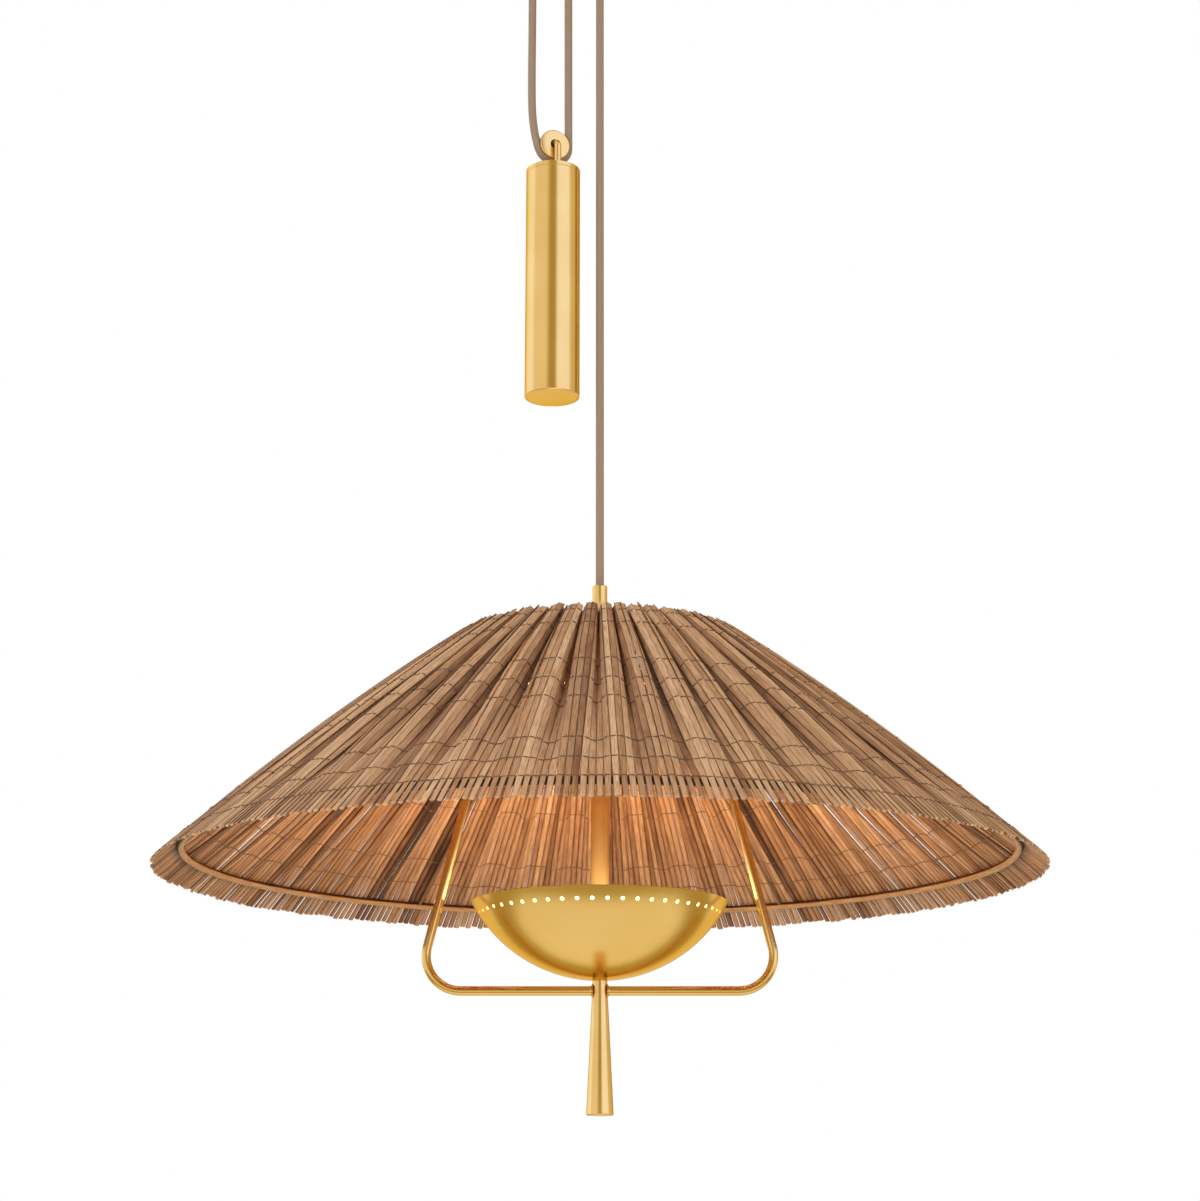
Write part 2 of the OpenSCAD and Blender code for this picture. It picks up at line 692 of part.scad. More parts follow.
// ---- Handle and bail ----
module handle_solid() {
    neck = handle_neck_d / 2;
    foot = handle_foot_d / 2;
    lean = (foot - neck) / (handle_len - neck_len);
    translate([0, 0, handle_foot]) rotate_extrude() polygon([
        [0, 0], [foot - foot_round, 0], [foot - 0.4 * foot_round, 0.25 * foot_round],
        [foot - 0.1 * foot_round, 0.6 * foot_round],
        [foot - foot_round * lean, foot_round], [neck, handle_len - neck_len],
        [neck, handle_len], [0, handle_len]
    ]);
}
module handle() {
    color(brass) difference() {
        handle_solid();
        translate([0, 0, bowl_bottom]) sphere_seat();
        translate([0, 0, bowl_bottom - nipple_in_handle])
            cylinder(d = nipple_d, h = nipple_in_handle + overshoot);
    }
}
// The bowl's round underside, which the handle's neck fits against.
module sphere_seat() {
    translate([0, 0, bowl_ball]) sphere(bowl_ball, $fn = 180);
}
// Lengths of tube one after another, as a bender makes them: each starts where the
// last one ends, heads along +Y and bends towards -X.
module straight(len, d) {
    rotate([-90, 0, 0]) cylinder(d = d, h = len);
    translate([0, len, 0]) children();
}
module bend(r, sweep, d) {
    translate([-r, 0, 0]) {
        rotate_extrude(angle = sweep) translate([r, 0]) circle(d = d, $fn = 48);
        rotate([0, 0, sweep]) translate([r, 0, 0]) children();
    }
}
module bail_path(d) {
    side_low = bar_z + bail_bend + bail_bend * sin(bail_lean);
    side_high = bail_top - bail_top_bend + bail_top_bend * sin(bail_lean);
    rise = side_high - side_low;
    back = bail_reach + (bail_bend - bail_top_bend) * cos(bail_lean) - rise * tan(bail_lean);
    translate([0, 0, bar_z]) rotate([90, 0, 0]) rotate([0, 0, -90])
        straight(bail_reach, d)
            bend(bail_bend, 90 + bail_lean, d)
                straight(rise / cos(bail_lean), d)
                    bend(bail_top_bend, 90 - bail_lean, d)
                        straight(back, d);
}
module half_bail() {
    difference() {
        union() {
            bail_path(bail_d);
            braze_fillet();
        }
        bail_path(bail_d - 2 * bail_wall);
        handle_solid();
        translate([0, 0, stem_z]) cylinder(d = stem_d, h = hub_bottom - stem_z);
    }
}
// Braze round the bar where it meets the handle.
module braze_fillet() {
    start = handle_neck_d / 2 - 0.5;
    r = bail_d / 2;
    translate([start, 0, bar_z]) rotate([0, 90, 0]) rotate_extrude() difference() {
        translate([r - bail_wall / 2, 0]) square([braze_r + bail_wall / 2, braze_r + 1]);
        translate([r + braze_r, braze_r + 1]) circle(braze_r, $fn = 48);
    }
}
module bail_right() {
    color(brass) half_bail();
}
module bail_left() {
    color(brass) mirror([1, 0, 0]) half_bail();
}

mounting_strap();
canopy_studs();
canopy();
canopy_nuts();
load_plate();
cord_grip();
grip_nut();
ceiling_yoke();
ceiling_yoke_nuts();
led_driver();
terminal_block();
supply_leads();
cord_tail();
cord_anchor_run();
cord_return_run();
cord_ceiling_wrap();
cord_lamp_run();
ceiling_sheave();
ceiling_bush();
weight_sheave();
weight_bush();
weight_yoke();
weight_yoke_nuts();
weight_cap();
weight_tube();
weight_core();
weight_base();
cord_weight_wrap();
gland();
gland_screw();
stem_cable();
shade_spider();
top_ring();
shade_ribs();
rim_hoop();
slat_mat();
rim_stitches();
stem_tube();
stem_top_bush();
stem_foot_bush();
bail_left();
bail_right();
heat_spreader();
led_board();
diffuser();
bowl_spacer();
bowl();
nipple();
handle();
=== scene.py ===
import math
import bmesh
import bpy
import numpy as np
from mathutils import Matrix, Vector


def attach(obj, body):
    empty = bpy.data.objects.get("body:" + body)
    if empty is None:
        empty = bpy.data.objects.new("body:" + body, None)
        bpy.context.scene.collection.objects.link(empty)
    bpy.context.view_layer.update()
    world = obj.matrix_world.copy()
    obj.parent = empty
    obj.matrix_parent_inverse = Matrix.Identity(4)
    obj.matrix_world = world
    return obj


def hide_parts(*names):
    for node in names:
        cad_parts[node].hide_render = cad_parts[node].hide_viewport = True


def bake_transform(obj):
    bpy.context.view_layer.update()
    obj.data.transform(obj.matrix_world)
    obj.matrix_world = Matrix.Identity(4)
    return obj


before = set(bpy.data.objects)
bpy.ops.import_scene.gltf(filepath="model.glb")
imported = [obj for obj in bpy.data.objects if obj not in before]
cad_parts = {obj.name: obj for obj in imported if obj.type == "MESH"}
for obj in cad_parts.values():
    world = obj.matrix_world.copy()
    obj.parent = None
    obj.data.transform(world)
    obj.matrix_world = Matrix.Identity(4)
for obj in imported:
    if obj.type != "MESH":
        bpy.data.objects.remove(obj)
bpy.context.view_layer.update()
mm = 0.001
scene = bpy.context.scene
scene.view_settings.view_transform = "Standard"
print("pendant: frame loaded,", len(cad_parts), "nodes")


# Camera, at the photograph's height and tilt.
viewpoint = {
    "place": (0.0001, -2.084, -1.229),
    "tiltUp": 14.89,
    "lens": 72.84,
    "sensor": 36.0,
}
cameraData = bpy.data.cameras.new("viewpoint")
cameraData.lens = viewpoint["lens"]
cameraData.sensor_width = viewpoint["sensor"]
cameraData.sensor_fit = "HORIZONTAL"
camera = bpy.data.objects.new("viewpoint", cameraData)
camera.location = viewpoint["place"]
camera.rotation_euler = (math.radians(90 + viewpoint["tiltUp"]), 0, 0)
scene.collection.objects.link(camera)
scene.camera = camera


# Small tools for surfaces.
def unit(v):
    return v / np.maximum(np.linalg.norm(v, axis=-1, keepdims=True), 1e-12)


# Angles evenly round a circle.
def roundTurns(count):
    return 2 * np.pi * np.arange(count) / count


# Quads of a grid of rows x cols points, wrapped where asked, and each corner's (col, row)
# counted on past a wrap, so a pattern runs over the seam.
def gridQuads(rows, cols, wrapRows=False, wrapCols=False):
    r = np.arange(rows if wrapRows else rows - 1)
    c = np.arange(cols if wrapCols else cols - 1)
    r, c = (a.ravel() for a in np.meshgrid(r, c, indexing="ij"))
    rr = np.stack([r, r, r + 1, r + 1], 1)
    cc = np.stack([c, c + 1, c + 1, c], 1)
    return (rr % rows) * cols + cc % cols, np.stack([cc, rr], 2)


# Joins the points of a mesh that lie within reach of each other.
def weldPoints(mesh, reach, outward=False):
    work = bmesh.new()
    work.from_mesh(mesh)
    bmesh.ops.remove_doubles(work, verts=work.verts, dist=reach)
    if outward:
        bmesh.ops.recalc_face_normals(work, faces=work.faces)
    work.to_mesh(mesh)
    work.free()


# Shades a mesh smooth but for edges past an angle, and puts it in the scene.
def putMesh(name, mesh, material, sharp):
    mesh.polygons.foreach_set("use_smooth", [True] * len(mesh.polygons))
    mesh.set_sharp_from_angle(angle=math.radians(sharp))
    mesh.materials.append(material)
    mesh.update()
    piece = bpy.data.objects.new(name, mesh)
    scene.collection.objects.link(piece)
    return piece


# The points and faces of several surfaces as those of one.
def together(surfaces):
    faces, count = [], 0
    for points, own in surfaces:
        faces += [[v + count for v in face] for face in own]
        count += points.size // 3
    return np.vstack([points.reshape(-1, 3) for points, _ in surfaces]), faces


# A mesh object of these points and faces, riding on a body. cornerUv holds one pair for
# each corner of each face; tone is one number for each point.
def makePiece(name, points, faces, body, slot, material, stands=(), cornerUv=None,
              tone=None, sharp=35, weld=True):
    mesh = bpy.data.meshes.new(name)
    mesh.from_pydata(np.asarray(points).reshape(-1, 3).tolist(), [],
                     [list(map(int, f)) for f in faces])
    if cornerUv is not None:
        layer = mesh.uv_layers.new(name="cloth")
        layer.data.foreach_set("uv", np.asarray(cornerUv, np.float32).ravel())
    if tone is not None:
        mesh.attributes.new("tone", "FLOAT", "POINT").data.foreach_set(
            "value", np.asarray(tone, np.float32).ravel())
    if weld:
        weldPoints(mesh, 2e-7, outward=True)
    piece = putMesh(name, mesh, material, sharp)
    if body:
        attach(piece, body)
    if stands:
        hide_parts(*stands)
    return piece


# Rounds each inner corner p of an (r, z) outline: it gives way to the arc
# (1 - t)^2 a + 2 t (1 - t) p + t^2 b, whose ends a and b lie on its sides at cut from it.
def softened(outline, cut, steps=4):
    p = np.asarray(outline, float)
    cut = np.broadcast_to(np.asarray(cut, float), len(p))
    t = np.linspace(0, 1, steps + 1)[:, None]
    rows = [p[:1]]
    for k in range(1, len(p) - 1):
        toPrev, toNext = p[k - 1] - p[k], p[k + 1] - p[k]
        reach = min(cut[k], 0.49 * np.linalg.norm(toPrev), 0.49 * np.linalg.norm(toNext))
        if reach <= 0:
            rows.append(p[k:k + 1])
            continue
        a, b = p[k] + unit(toPrev) * reach, p[k] + unit(toNext) * reach
        rows.append((1 - t) ** 2 * a + 2 * t * (1 - t) * p[k] + t ** 2 * b)
    rows.append(p[-1:])
    return np.vstack(rows)


# A turned surface: outline point (r, z) goes to (r cos a, r sin a, z) for a round the
# circle, about the z axis through centre. Poles close where r is 0.
def turned(outline, sides=96, centre=(0, 0)):
    outline = np.asarray(outline, float)
    a = roundTurns(sides)
    r = np.repeat(outline[:, :1], sides, 1)
    points = np.stack([centre[0] * mm + r * np.cos(a), centre[1] * mm + r * np.sin(a),
                       np.repeat(outline[:, 1:], sides, 1)], 2)
    closed = bool(np.allclose(outline[0], outline[-1]))
    if closed:
        points = points[:-1]
    faces, corner = gridQuads(len(points), sides, closed, True)
    return points, faces, corner


# A round section carried along a path: point i goes to path[i] + radius[i] (cos a u +
# sin a v), where u and v are square to the path and level is the direction v leans to.
def carried(path, radius, sides=24, level=(0, 1, 0), closed=False):
    path = np.asarray(path, float)
    radius = np.broadcast_to(np.asarray(radius, float), len(path))
    if closed:
        along = unit(np.roll(path, -1, 0) - np.roll(path, 1, 0))
    else:
        along = unit(np.gradient(path, axis=0))
    u = unit(np.cross(along, np.asarray(level, float)))
    v = np.cross(along, u)
    a = roundTurns(sides)
    points = path[:, None] + radius[:, None, None] * (
        np.cos(a)[None, :, None] * u[:, None] + np.sin(a)[None, :, None] * v[:, None])
    faces, corner = gridQuads(len(path), sides, closed, True)
    faces = [list(f) for f in faces]
    if not closed:
        last = (len(path) - 1) * sides
        faces += [list(range(sides))[::-1], list(range(last, last + sides))]
    return points, faces, corner


# Corner pairs for a carried tube, in metres round and along it; the end caps get zeros.
def tubeUv(path, radius, sides, corner, closed=False):
    path = np.asarray(path, float)
    step = np.linalg.norm(np.diff(path, axis=0, append=path[:1]), axis=1)
    run = np.concatenate([[0], np.cumsum(step)])
    uv = np.stack([corner[..., 0] * 2 * np.pi * radius / sides, run[corner[..., 1]]], -1)
    caps = np.zeros((0 if closed else 2 * sides, 2))
    return np.vstack([uv.reshape(-1, 2), caps])


# Points of a Catmull-Rom curve through given points a, b, c, d: from b to c it is
# half of 2 b + (c - a) t + (2 a - 5 b + 4 c - d) t^2 + (3 b - a - 3 c + d) t^3.
def throughPoints(p, steps):
    p = np.asarray(p, float)
    q = np.vstack([p[:1], p, p[-1:]])
    a, b, c, d = (q[k:len(q) - 3 + k, None] for k in range(4))
    t = (np.arange(steps) / steps)[None, :, None]
    body = 0.5 * (2 * b + (c - a) * t + (2 * a - 5 * b + 4 * c - d) * t ** 2
                  + (3 * b - a - 3 * c + d) * t ** 3)
    return np.vstack([body.reshape(-1, 3), p[-1:]])


# Small tools for materials.
def tint(r, g, b):
    c = np.array([r, g, b]) / 255
    c = np.where(c <= 0.04045, c / 12.92, ((c + 0.055) / 1.055) ** 2.4)
    return (*c.tolist(), 1.0)


def addNode(tree, kind, values=None, **settings):
    made = tree.nodes.new("ShaderNode" + kind)
    for key, value in settings.items():
        setattr(made, key, value)
    for key, value in (values or {}).items():
        made.inputs[key].default_value = value
    return made


def join(tree, source, output, target, entry):
    tree.links.new(source.outputs[output], target.inputs[entry])


def newMaterial(name, **sockets):
    material = bpy.data.materials.new(name)
    material.use_nodes = True
    tree = material.node_tree
    tree.nodes.clear()
    shader = addNode(tree, "BsdfPrincipled", sockets)
    join(tree, shader, "BSDF", addNode(tree, "OutputMaterial"), "Surface")
    return material, tree, shader


def ramp(tree, source, output, stops):
    made = addNode(tree, "ValToRGB")
    while len(made.color_ramp.elements) < len(stops):
        made.color_ramp.elements.new(0.5)
    for element, (place, colour) in zip(made.color_ramp.elements, stops):
        element.position, element.color = place, colour
    join(tree, source, output, made, "Fac")
    return made


def objectNoise(tree, scale, detail=3):
    noise = addNode(tree, "TexNoise", {"Scale": scale, "Detail": detail})
    join(tree, addNode(tree, "TexCoord"), "Object", noise, "Vector")
    return noise


# Noise that runs in rings round a vertical axis, as turning marks do.
def ringNoise(tree, axis, scale):
    shift = addNode(tree, "Mapping", {"Location": (-axis[0] * mm, -axis[1] * mm, 0)})
    flat = addNode(tree, "VectorMath", {1: (1, 1, 0)}, operation="MULTIPLY")
    size = addNode(tree, "VectorMath", operation="LENGTH")
    split = addNode(tree, "SeparateXYZ")
    both = addNode(tree, "CombineXYZ")
    noise = addNode(tree, "TexNoise", {"Scale": scale, "Detail": 2})
    join(tree, addNode(tree, "TexCoord"), "Object", shift, "Vector")
    join(tree, shift, "Vector", flat, 0)
    join(tree, flat, "Vector", size, 0)
    join(tree, shift, "Vector", split, "Vector")
    join(tree, size, "Value", both, "X")
    join(tree, split, "Z", both, "Z")
    join(tree, both, "Vector", noise, "Vector")
    return noise


def bump(tree, source, output, shader, strength, distance):
    made = addNode(tree, "Bump", {"Strength": strength, "Distance": distance})
    join(tree, source, output, made, "Height")
    join(tree, made, "Normal", shader, "Normal")


def spread(tree, source, output, low, high, shader, entry):
    made = addNode(tree, "MapRange", {"To Min": low, "To Max": high})
    join(tree, source, output, made, "Value")
    join(tree, made, "Result", shader, entry)


# Satin brass: a slow mottle in the colour and faint fine marks in the gloss, in rings
# about an axis on turned pieces.
def brass(name, dark, light, rough, axis=None):
    material, tree, shader = newMaterial(name, Metallic=1.0)
    shader.inputs["Specular Tint"].default_value = tint(248, 214, 140)
    mottle = objectNoise(tree, 14)
    colour = ramp(tree, mottle, "Fac", [(0.35, dark), (0.65, light)])
    join(tree, colour, "Color", shader, "Base Color")
    grain = objectNoise(tree, 2400, detail=2) if axis is None else ringNoise(tree, axis, 2600)
    spread(tree, grain, "Fac", rough - 0.03, rough + 0.05, shader, "Roughness")
    bump(tree, grain, "Fac", shader, 0.05, 0.00003)
    return material


# Paint, plastic, plated metal or thread: a fine mottle in colour and gloss over small marks.
def painted(name, dark, light, rough, scale, metallic=0.0, marks=0.1):
    material, tree, shader = newMaterial(name, Metallic=metallic)
    grain = objectNoise(tree, scale, detail=4)
    colour = ramp(tree, grain, "Fac", [(0.3, dark), (0.7, light)])
    join(tree, colour, "Color", shader, "Base Color")
    spread(tree, grain, "Fac", rough - 0.06, rough + 0.08, shader, "Roughness")
    bump(tree, objectNoise(tree, scale * 12), "Fac", shader, marks, 0.0001)
    return material


# Split cane: the tone each point carries, which is the slat's own tone with painted shade
# added, long grain from the strip's UV, and slow stains.
def caneMaterial(name, stops):
    material, tree, shader = newMaterial(name)
    shader.inputs["Specular IOR Level"].default_value = 0.35
    tone = addNode(tree, "Attribute", attribute_name="tone")
    strip = addNode(tree, "UVMap", uv_map="cloth")
    noises = []
    for stretch, detail, rough in (((2600, 60, 1), 4, 0.62), ((160, 22, 1), 3, 0.5)):
        fit = addNode(tree, "Mapping", {"Scale": stretch})
        noises.append(addNode(tree, "TexNoise",
                              {"Scale": 1.0, "Detail": detail, "Roughness": rough}))
        join(tree, strip, "UV", fit, "Vector")
        join(tree, fit, "Vector", noises[-1], "Vector")
    grain, stain = noises
    centred = addNode(tree, "Math", {1: 0.55, 2: -0.275}, operation="MULTIPLY_ADD")
    join(tree, stain, "Fac", centred, 0)
    total = addNode(tree, "Math", operation="ADD")
    join(tree, tone, "Fac", total, 0)
    join(tree, centred, "Value", total, 1)
    colour = ramp(tree, total, "Value", stops)
    fibre = ramp(tree, grain, "Fac", [(0.36, tint(150, 142, 134)), (0.6, tint(255, 255, 255))])
    blendIn = addNode(tree, "Mix", {"Factor": 0.75}, data_type="RGBA",
                      blend_type="MULTIPLY")
    join(tree, colour, "Color", blendIn, 6)
    join(tree, fibre, "Color", blendIn, 7)
    join(tree, blendIn, 2, shader, "Base Color")
    spread(tree, grain, "Fac", 0.5, 0.72, shader, "Roughness")
    bump(tree, grain, "Fac", shader, 0.35, 0.00025)
    return material


# Braided cover: two sets of fine strands wound against each other, from the cord's UV.
def braidMaterial(name, dark, light, strand):
    material, tree, shader = newMaterial(name, Roughness=0.85)
    shader.inputs["Sheen Weight"].default_value = 0.25
    place = addNode(tree, "UVMap", uv_map="cloth")
    waves = []
    for lean in (1, -1):
        fit = addNode(tree, "Mapping", {"Rotation": (0, 0, lean * math.radians(38))})
        wave = addNode(tree, "TexWave",
                       {"Scale": math.pi / 10 / strand, "Distortion": 0.8, "Detail": 2,
                        "Detail Scale": 2.0})
        join(tree, place, "UV", fit, "Vector")
        join(tree, fit, "Vector", wave, "Vector")
        waves.append(wave)
    over = addNode(tree, "Math", operation="MAXIMUM")
    join(tree, waves[0], "Fac", over, 0)
    join(tree, waves[1], "Fac", over, 1)
    fuzz = objectNoise(tree, 900, detail=4)
    mixed = addNode(tree, "Math", operation="MULTIPLY")
    join(tree, over, "Value", mixed, 0)
    join(tree, fuzz, "Fac", mixed, 1)
    cover = ramp(tree, mixed, "Value", [(0.1, dark), (0.6, light)])
    join(tree, cover, "Color", shader, "Base Color")
    bump(tree, over, "Value", shader, 0.35, 0.0002)
    return material


goldDark, goldLight = tint(228, 190, 122), tint(234, 198, 134)
satinBrass = brass("satinBrass", goldDark, goldLight, 0.19)
turnedBrass = brass("turnedBrass", goldDark, goldLight, 0.18, (0, 0))
weightBrass = brass("weightBrass", goldDark, goldLight, 0.18, (-43.5, 0))
spunBrass = brass("spunBrass", goldDark, goldLight, 0.2, (0, 0))
stemBrass = brass("stemBrass", goldDark, goldLight, 0.36, (0, 0))
paints = {name: painted(name, tint(*dark), tint(*light), *rest)
          for name, dark, light, *rest in (
              ("plainSteel", (148, 149, 152), (176, 177, 180), 0.38, 30, 1.0),
              ("ballast", (90, 88, 86), (120, 118, 114), 0.55, 50, 1.0, 0.3),
              ("frameWire", (112, 80, 54), (134, 98, 68), 0.6, 50),
              ("alloy", (178, 180, 184), (204, 206, 208), 0.42, 40, 1.0),
              ("blackNylon", (34, 31, 28), (48, 44, 40), 0.45, 80),
              ("palePlastic", (214, 213, 206), (228, 227, 220), 0.42, 70),
              ("whitePlastic", (224, 224, 220), (236, 236, 232), 0.38, 70),
              ("leadPlastic", (38, 36, 36), (54, 52, 50), 0.4, 90),
              ("flexSkin", (212, 206, 194), (226, 220, 208), 0.5, 90),
              ("boardMask", (232, 232, 230), (244, 244, 242), 0.35, 90),
              ("twistThread", (98, 72, 54), (132, 104, 82), 0.8, 900))}
caneSkin = caneMaterial("caneSkin", [
    (0.0, tint(74, 46, 28)), (0.2, tint(138, 92, 56)), (0.42, tint(178, 131, 90)),
    (0.68, tint(202, 157, 115)), (1.0, tint(226, 186, 144))])
hoopSkin = caneMaterial("hoopSkin", [(0.0, tint(58, 36, 22)), (0.25, tint(96, 62, 36)),
                                     (0.55, tint(190, 142, 92)), (1.0, tint(222, 180, 130))])
cordCover = braidMaterial("cordCover", tint(128, 104, 84), tint(172, 148, 124), 0.0016)

opalGlow, opalTree, opalShader = newMaterial("opalGlow", Roughness=0.4)
join(opalTree, ramp(opalTree, objectNoise(opalTree, 30), "Fac",
                    [(0.3, tint(244, 236, 220)), (0.7, tint(252, 246, 232))]),
     "Color", opalShader, "Base Color")
opalShader.inputs["Emission Color"].default_value = tint(255, 232, 196)
opalShader.inputs["Emission Strength"].default_value = 5.0
print("pendant: materials made")


# Cord: routes in millimetres, as the frame has them.
cordSizes = {"diameter": 7.4, "pitch": 15.0, "sides": 20, "pulleyX": -15.0, "pulleyZ": -58.0,
             "weightX": -43.5, "weightZ": -236.0, "yaw": 20.0, "sideAngle": 25.0,
             "anchorX": -64.0, "lampEnd": -674.0, "runOn": 6.0}
pitch = cordSizes["pitch"]
anchorX = cordSizes["anchorX"]
yaw, slackTurn = math.radians(cordSizes["yaw"]), math.radians(cordSizes["sideAngle"])
yawWay = np.array([math.cos(yaw), math.sin(yaw), 0])
pulleyAt = np.array([cordSizes["pulleyX"], 0, cordSizes["pulleyZ"]])
weightAt = np.array([cordSizes["weightX"], 0, cordSizes["weightZ"]])
returnTop, lampTop = pulleyAt - np.array([pitch, 0, 0]), pulleyAt + np.array([pitch, 0, 0])


# Places beside the counterweight's pulley, and on the straight that leaves its rim.
def byPulley(out, up):
    return weightAt - out * yawWay + np.array([0, 0, up])


def offPulley(length):
    return byPulley(pitch * math.cos(slackTurn) + length * math.sin(slackTurn),
                    length * math.cos(slackTurn) - pitch * math.sin(slackTurn))


# An arc of the cord about a pulley: middle + pitch (cos a out + sin a up).
def wrapPath(middle, outward, first, last, count):
    a = np.linspace(first, last, count)[:, None]
    return middle + pitch * (np.cos(a) * outward + np.sin(a) * np.array([0, 0, 1.0]))


anchorPath = throughPoints([
    [anchorX, 0, -36], [anchorX, 0, -60], [anchorX, 0, -90], [anchorX, 0, -126],
    [anchorX, -3, -158], byPulley(21.5, 50), byPulley(20.8, 30), byPulley(18.8, 13),
    byPulley(16.4, 2), offPulley(3), offPulley(1.5), offPulley(0)], 8)
returnEnd = weightAt + pitch * yawWay
upAgain = unit(returnTop - returnEnd) * cordSizes["runOn"]
returnPath = np.linspace(returnTop, returnEnd + upAgain, 33)
lampPath = np.linspace(lampTop, [0, 0, cordSizes["lampEnd"]], 89)
tailPath = throughPoints([
    [anchorX, 0, -36], [anchorX, 0, -30], [anchorX, 0, -24], [-63, -1.6, -17],
    [-60, -6.1, -12], [-56, -12, -10], [-47, -20, -10.5], [-31, -27, -12], [-12, -29, -16],
    [2, -26.4, -19], [11, -25, -19], [14, -25, -19], [16.9, -25, -19]], 6)
ceilingArc = wrapPath(pulleyAt, np.array([-1.0, 0, 0]), 0, math.pi, 41)
weightArc = np.vstack([wrapPath(weightAt, -yawWay, -slackTurn, -math.pi, 37),
                       returnEnd + upAgain * np.linspace(0.25, 1, 4)[:, None]])


def makeCord(name, path, node, body, blend=None):
    path = path * mm
    r = cordSizes["diameter"] * mm / 2
    points, faces, corner = carried(path, r, cordSizes["sides"])
    piece = makePiece(name, points, faces, None if blend else body, "cord", cordCover,
                      [node], tubeUv(path, r, cordSizes["sides"], corner), weld=False)
    if blend:
        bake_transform(piece)


makeCord("cord_in_canopy", tailPath, "cord_tail", "ceiling")
makeCord("cord_slack_side", anchorPath, "cord_anchor_run", "ceiling", ("ceiling", "weight"))
makeCord("cord_under_weight_pulley", weightArc, "cord_weight_wrap", "weight")
makeCord("cord_return_side", returnPath, "cord_return_run", "ceiling", ("ceiling", "weight"))
makeCord("cord_over_ceiling_pulley", ceilingArc, "cord_ceiling_wrap", "ceiling")
makeCord("cord_to_lamp", lampPath, "cord_lamp_run", "ceiling", ("ceiling", "lamp"))
print("pendant: cord laid")


# Shade mat: slats bunched into flat-topped pleats at the top and level at the hoop.
mat = {
    "slats": 390, "pleats": 54, "topR": 118.0, "topZ": -716.0, "slope": 37.7,
    "toHoop": 305.0, "tail": 28.0, "bow": 5.6, "crest": 7.0, "stations": 21,
    "deep": 10.5, "fade": 2.6, "deepMost": 1.25, "deepVary": 0.06, "uneven": 0.24,
    "valley": 0.05, "wall": 0.10, "wallGrow": 0.24, "phases": 401,
    "thick": 1.0, "crown": 0.55, "widest": 5.64, "fill": 1.04, "lap": 0.3, "flatLap": 0.4,
    "tipFrom": 280, "tipGap": 0.11, "tipSwing": 0.1, "liftVary": 0.16, "stray": 0.06,
    "snake": 0.1, "startAt": -0.4, "startVary": 2.1, "endVary": 0.9, "wideVary": 0.05,
    "rollVary": 0.09, "grainHalf": 2.3, "tone": 0.55, "toneVary": 0.17, "toneLow": 0.24,
    # On the next line, three values darken the tone as painted shade (in the folds, at the
    # slats' edges, at their shoulders); the last makes the cut ends paler.
    "toneHigh": 0.98, "foldShading": -0.62, "edgeShade": -0.8, "cornerShade": -0.14, "atCut": 0.5,
}
slopeTurn = math.radians(mat["slope"])
slopeCos, slopeSin = math.cos(slopeTurn), math.sin(slopeTurn)
matRun = mat["toHoop"] + mat["tail"]
chance = np.random.default_rng(11)

# Each pleat takes its own share of the slats; slatTurn is where a level slat stands.
share = 1 + mat["uneven"] * chance.uniform(-1, 1, mat["pleats"])
pleatEnds = np.concatenate([[0], np.cumsum(share)]) / share.sum() * mat["slats"]
slatPlace = np.arange(mat["slats"]) + 0.5
slatPleat = np.clip(np.searchsorted(pleatEnds, slatPlace) - 1, 0, mat["pleats"] - 1)
pleatSlats = pleatEnds[1:] - pleatEnds[:-1]
inPleat = (slatPlace - pleatEnds[slatPleat]) / pleatSlats[slatPleat]
pleatDeep = (np.minimum(mat["deepMost"], pleatSlats / pleatSlats.mean())
             * (1 + mat["deepVary"] * chance.uniform(-1, 1, mat["pleats"])))
slatTurn = 2 * np.pi * slatPlace / mat["slats"]
slatJitter = chance.normal(0, 1, (mat["slats"], 6))


# How deep the pleats are at distance s down the mat: deep (1 - (s / toHoop)^fade).
def pleatDepth(s):
    return mat["deep"] * max(0.0, 1 - (s / mat["toHoop"]) ** mat["fade"])


# The pleats' outline at distance s, as phase against length: level on top, then a wall
# down to a narrow valley, drop = 1 - c^2 (3 - 2 c) with c the climb. Each pleat has its
# own pitch and depth.
def pleatOutline(s):
    pitchHere = (2 * np.pi * (mat["topR"] + s * slopeCos)
                 * pleatSlats[:, None] / mat["slats"])
    phase = np.linspace(0, 1, mat["phases"])
    fromValley = np.minimum(phase, 1 - phase)
    wall = mat["wall"] + mat["wallGrow"] * min(1.0, s / mat["toHoop"])
    climb = np.clip((fromValley - mat["valley"]) / wall, 0, 1)
    drop = 1 - climb * climb * (3 - 2 * climb)
    run = np.hypot(np.diff(phase) * pitchHere,
                   np.diff(drop) * pleatDepth(s) * pleatDeep[:, None])
    return phase, drop, np.cumsum(np.pad(run, ((0, 0), (1, 0))), axis=1)


# The width of each slat at distance s: what fills its pleat, up to the widest, with a lap
# that grows to the top and is most on the walls, and less past the threads towards the
# tips, where the gaps open more on the camera's side.
def slatWidth(s, sunk):
    room = (pleatOutline(s)[2][:, -1] / pleatSlats)[slatPleat]
    taper = np.clip((s - mat["tipFrom"]) / (matRun - mat["tipFrom"]), 0, 1)
    gap = mat["tipGap"] - mat["tipSwing"] * np.sin(slatTurn)
    onWall = np.minimum(1, 20 * sunk * (1 - sunk))
    lap = mat["lap"] * (mat["flatLap"] + (1 - mat["flatLap"]) * onWall) * (1 - s / matRun)
    wide = np.minimum(mat["widest"], mat["fill"] * (1 + lap) * room)
    return wide * (1 - gap * taper * (2 - taper))


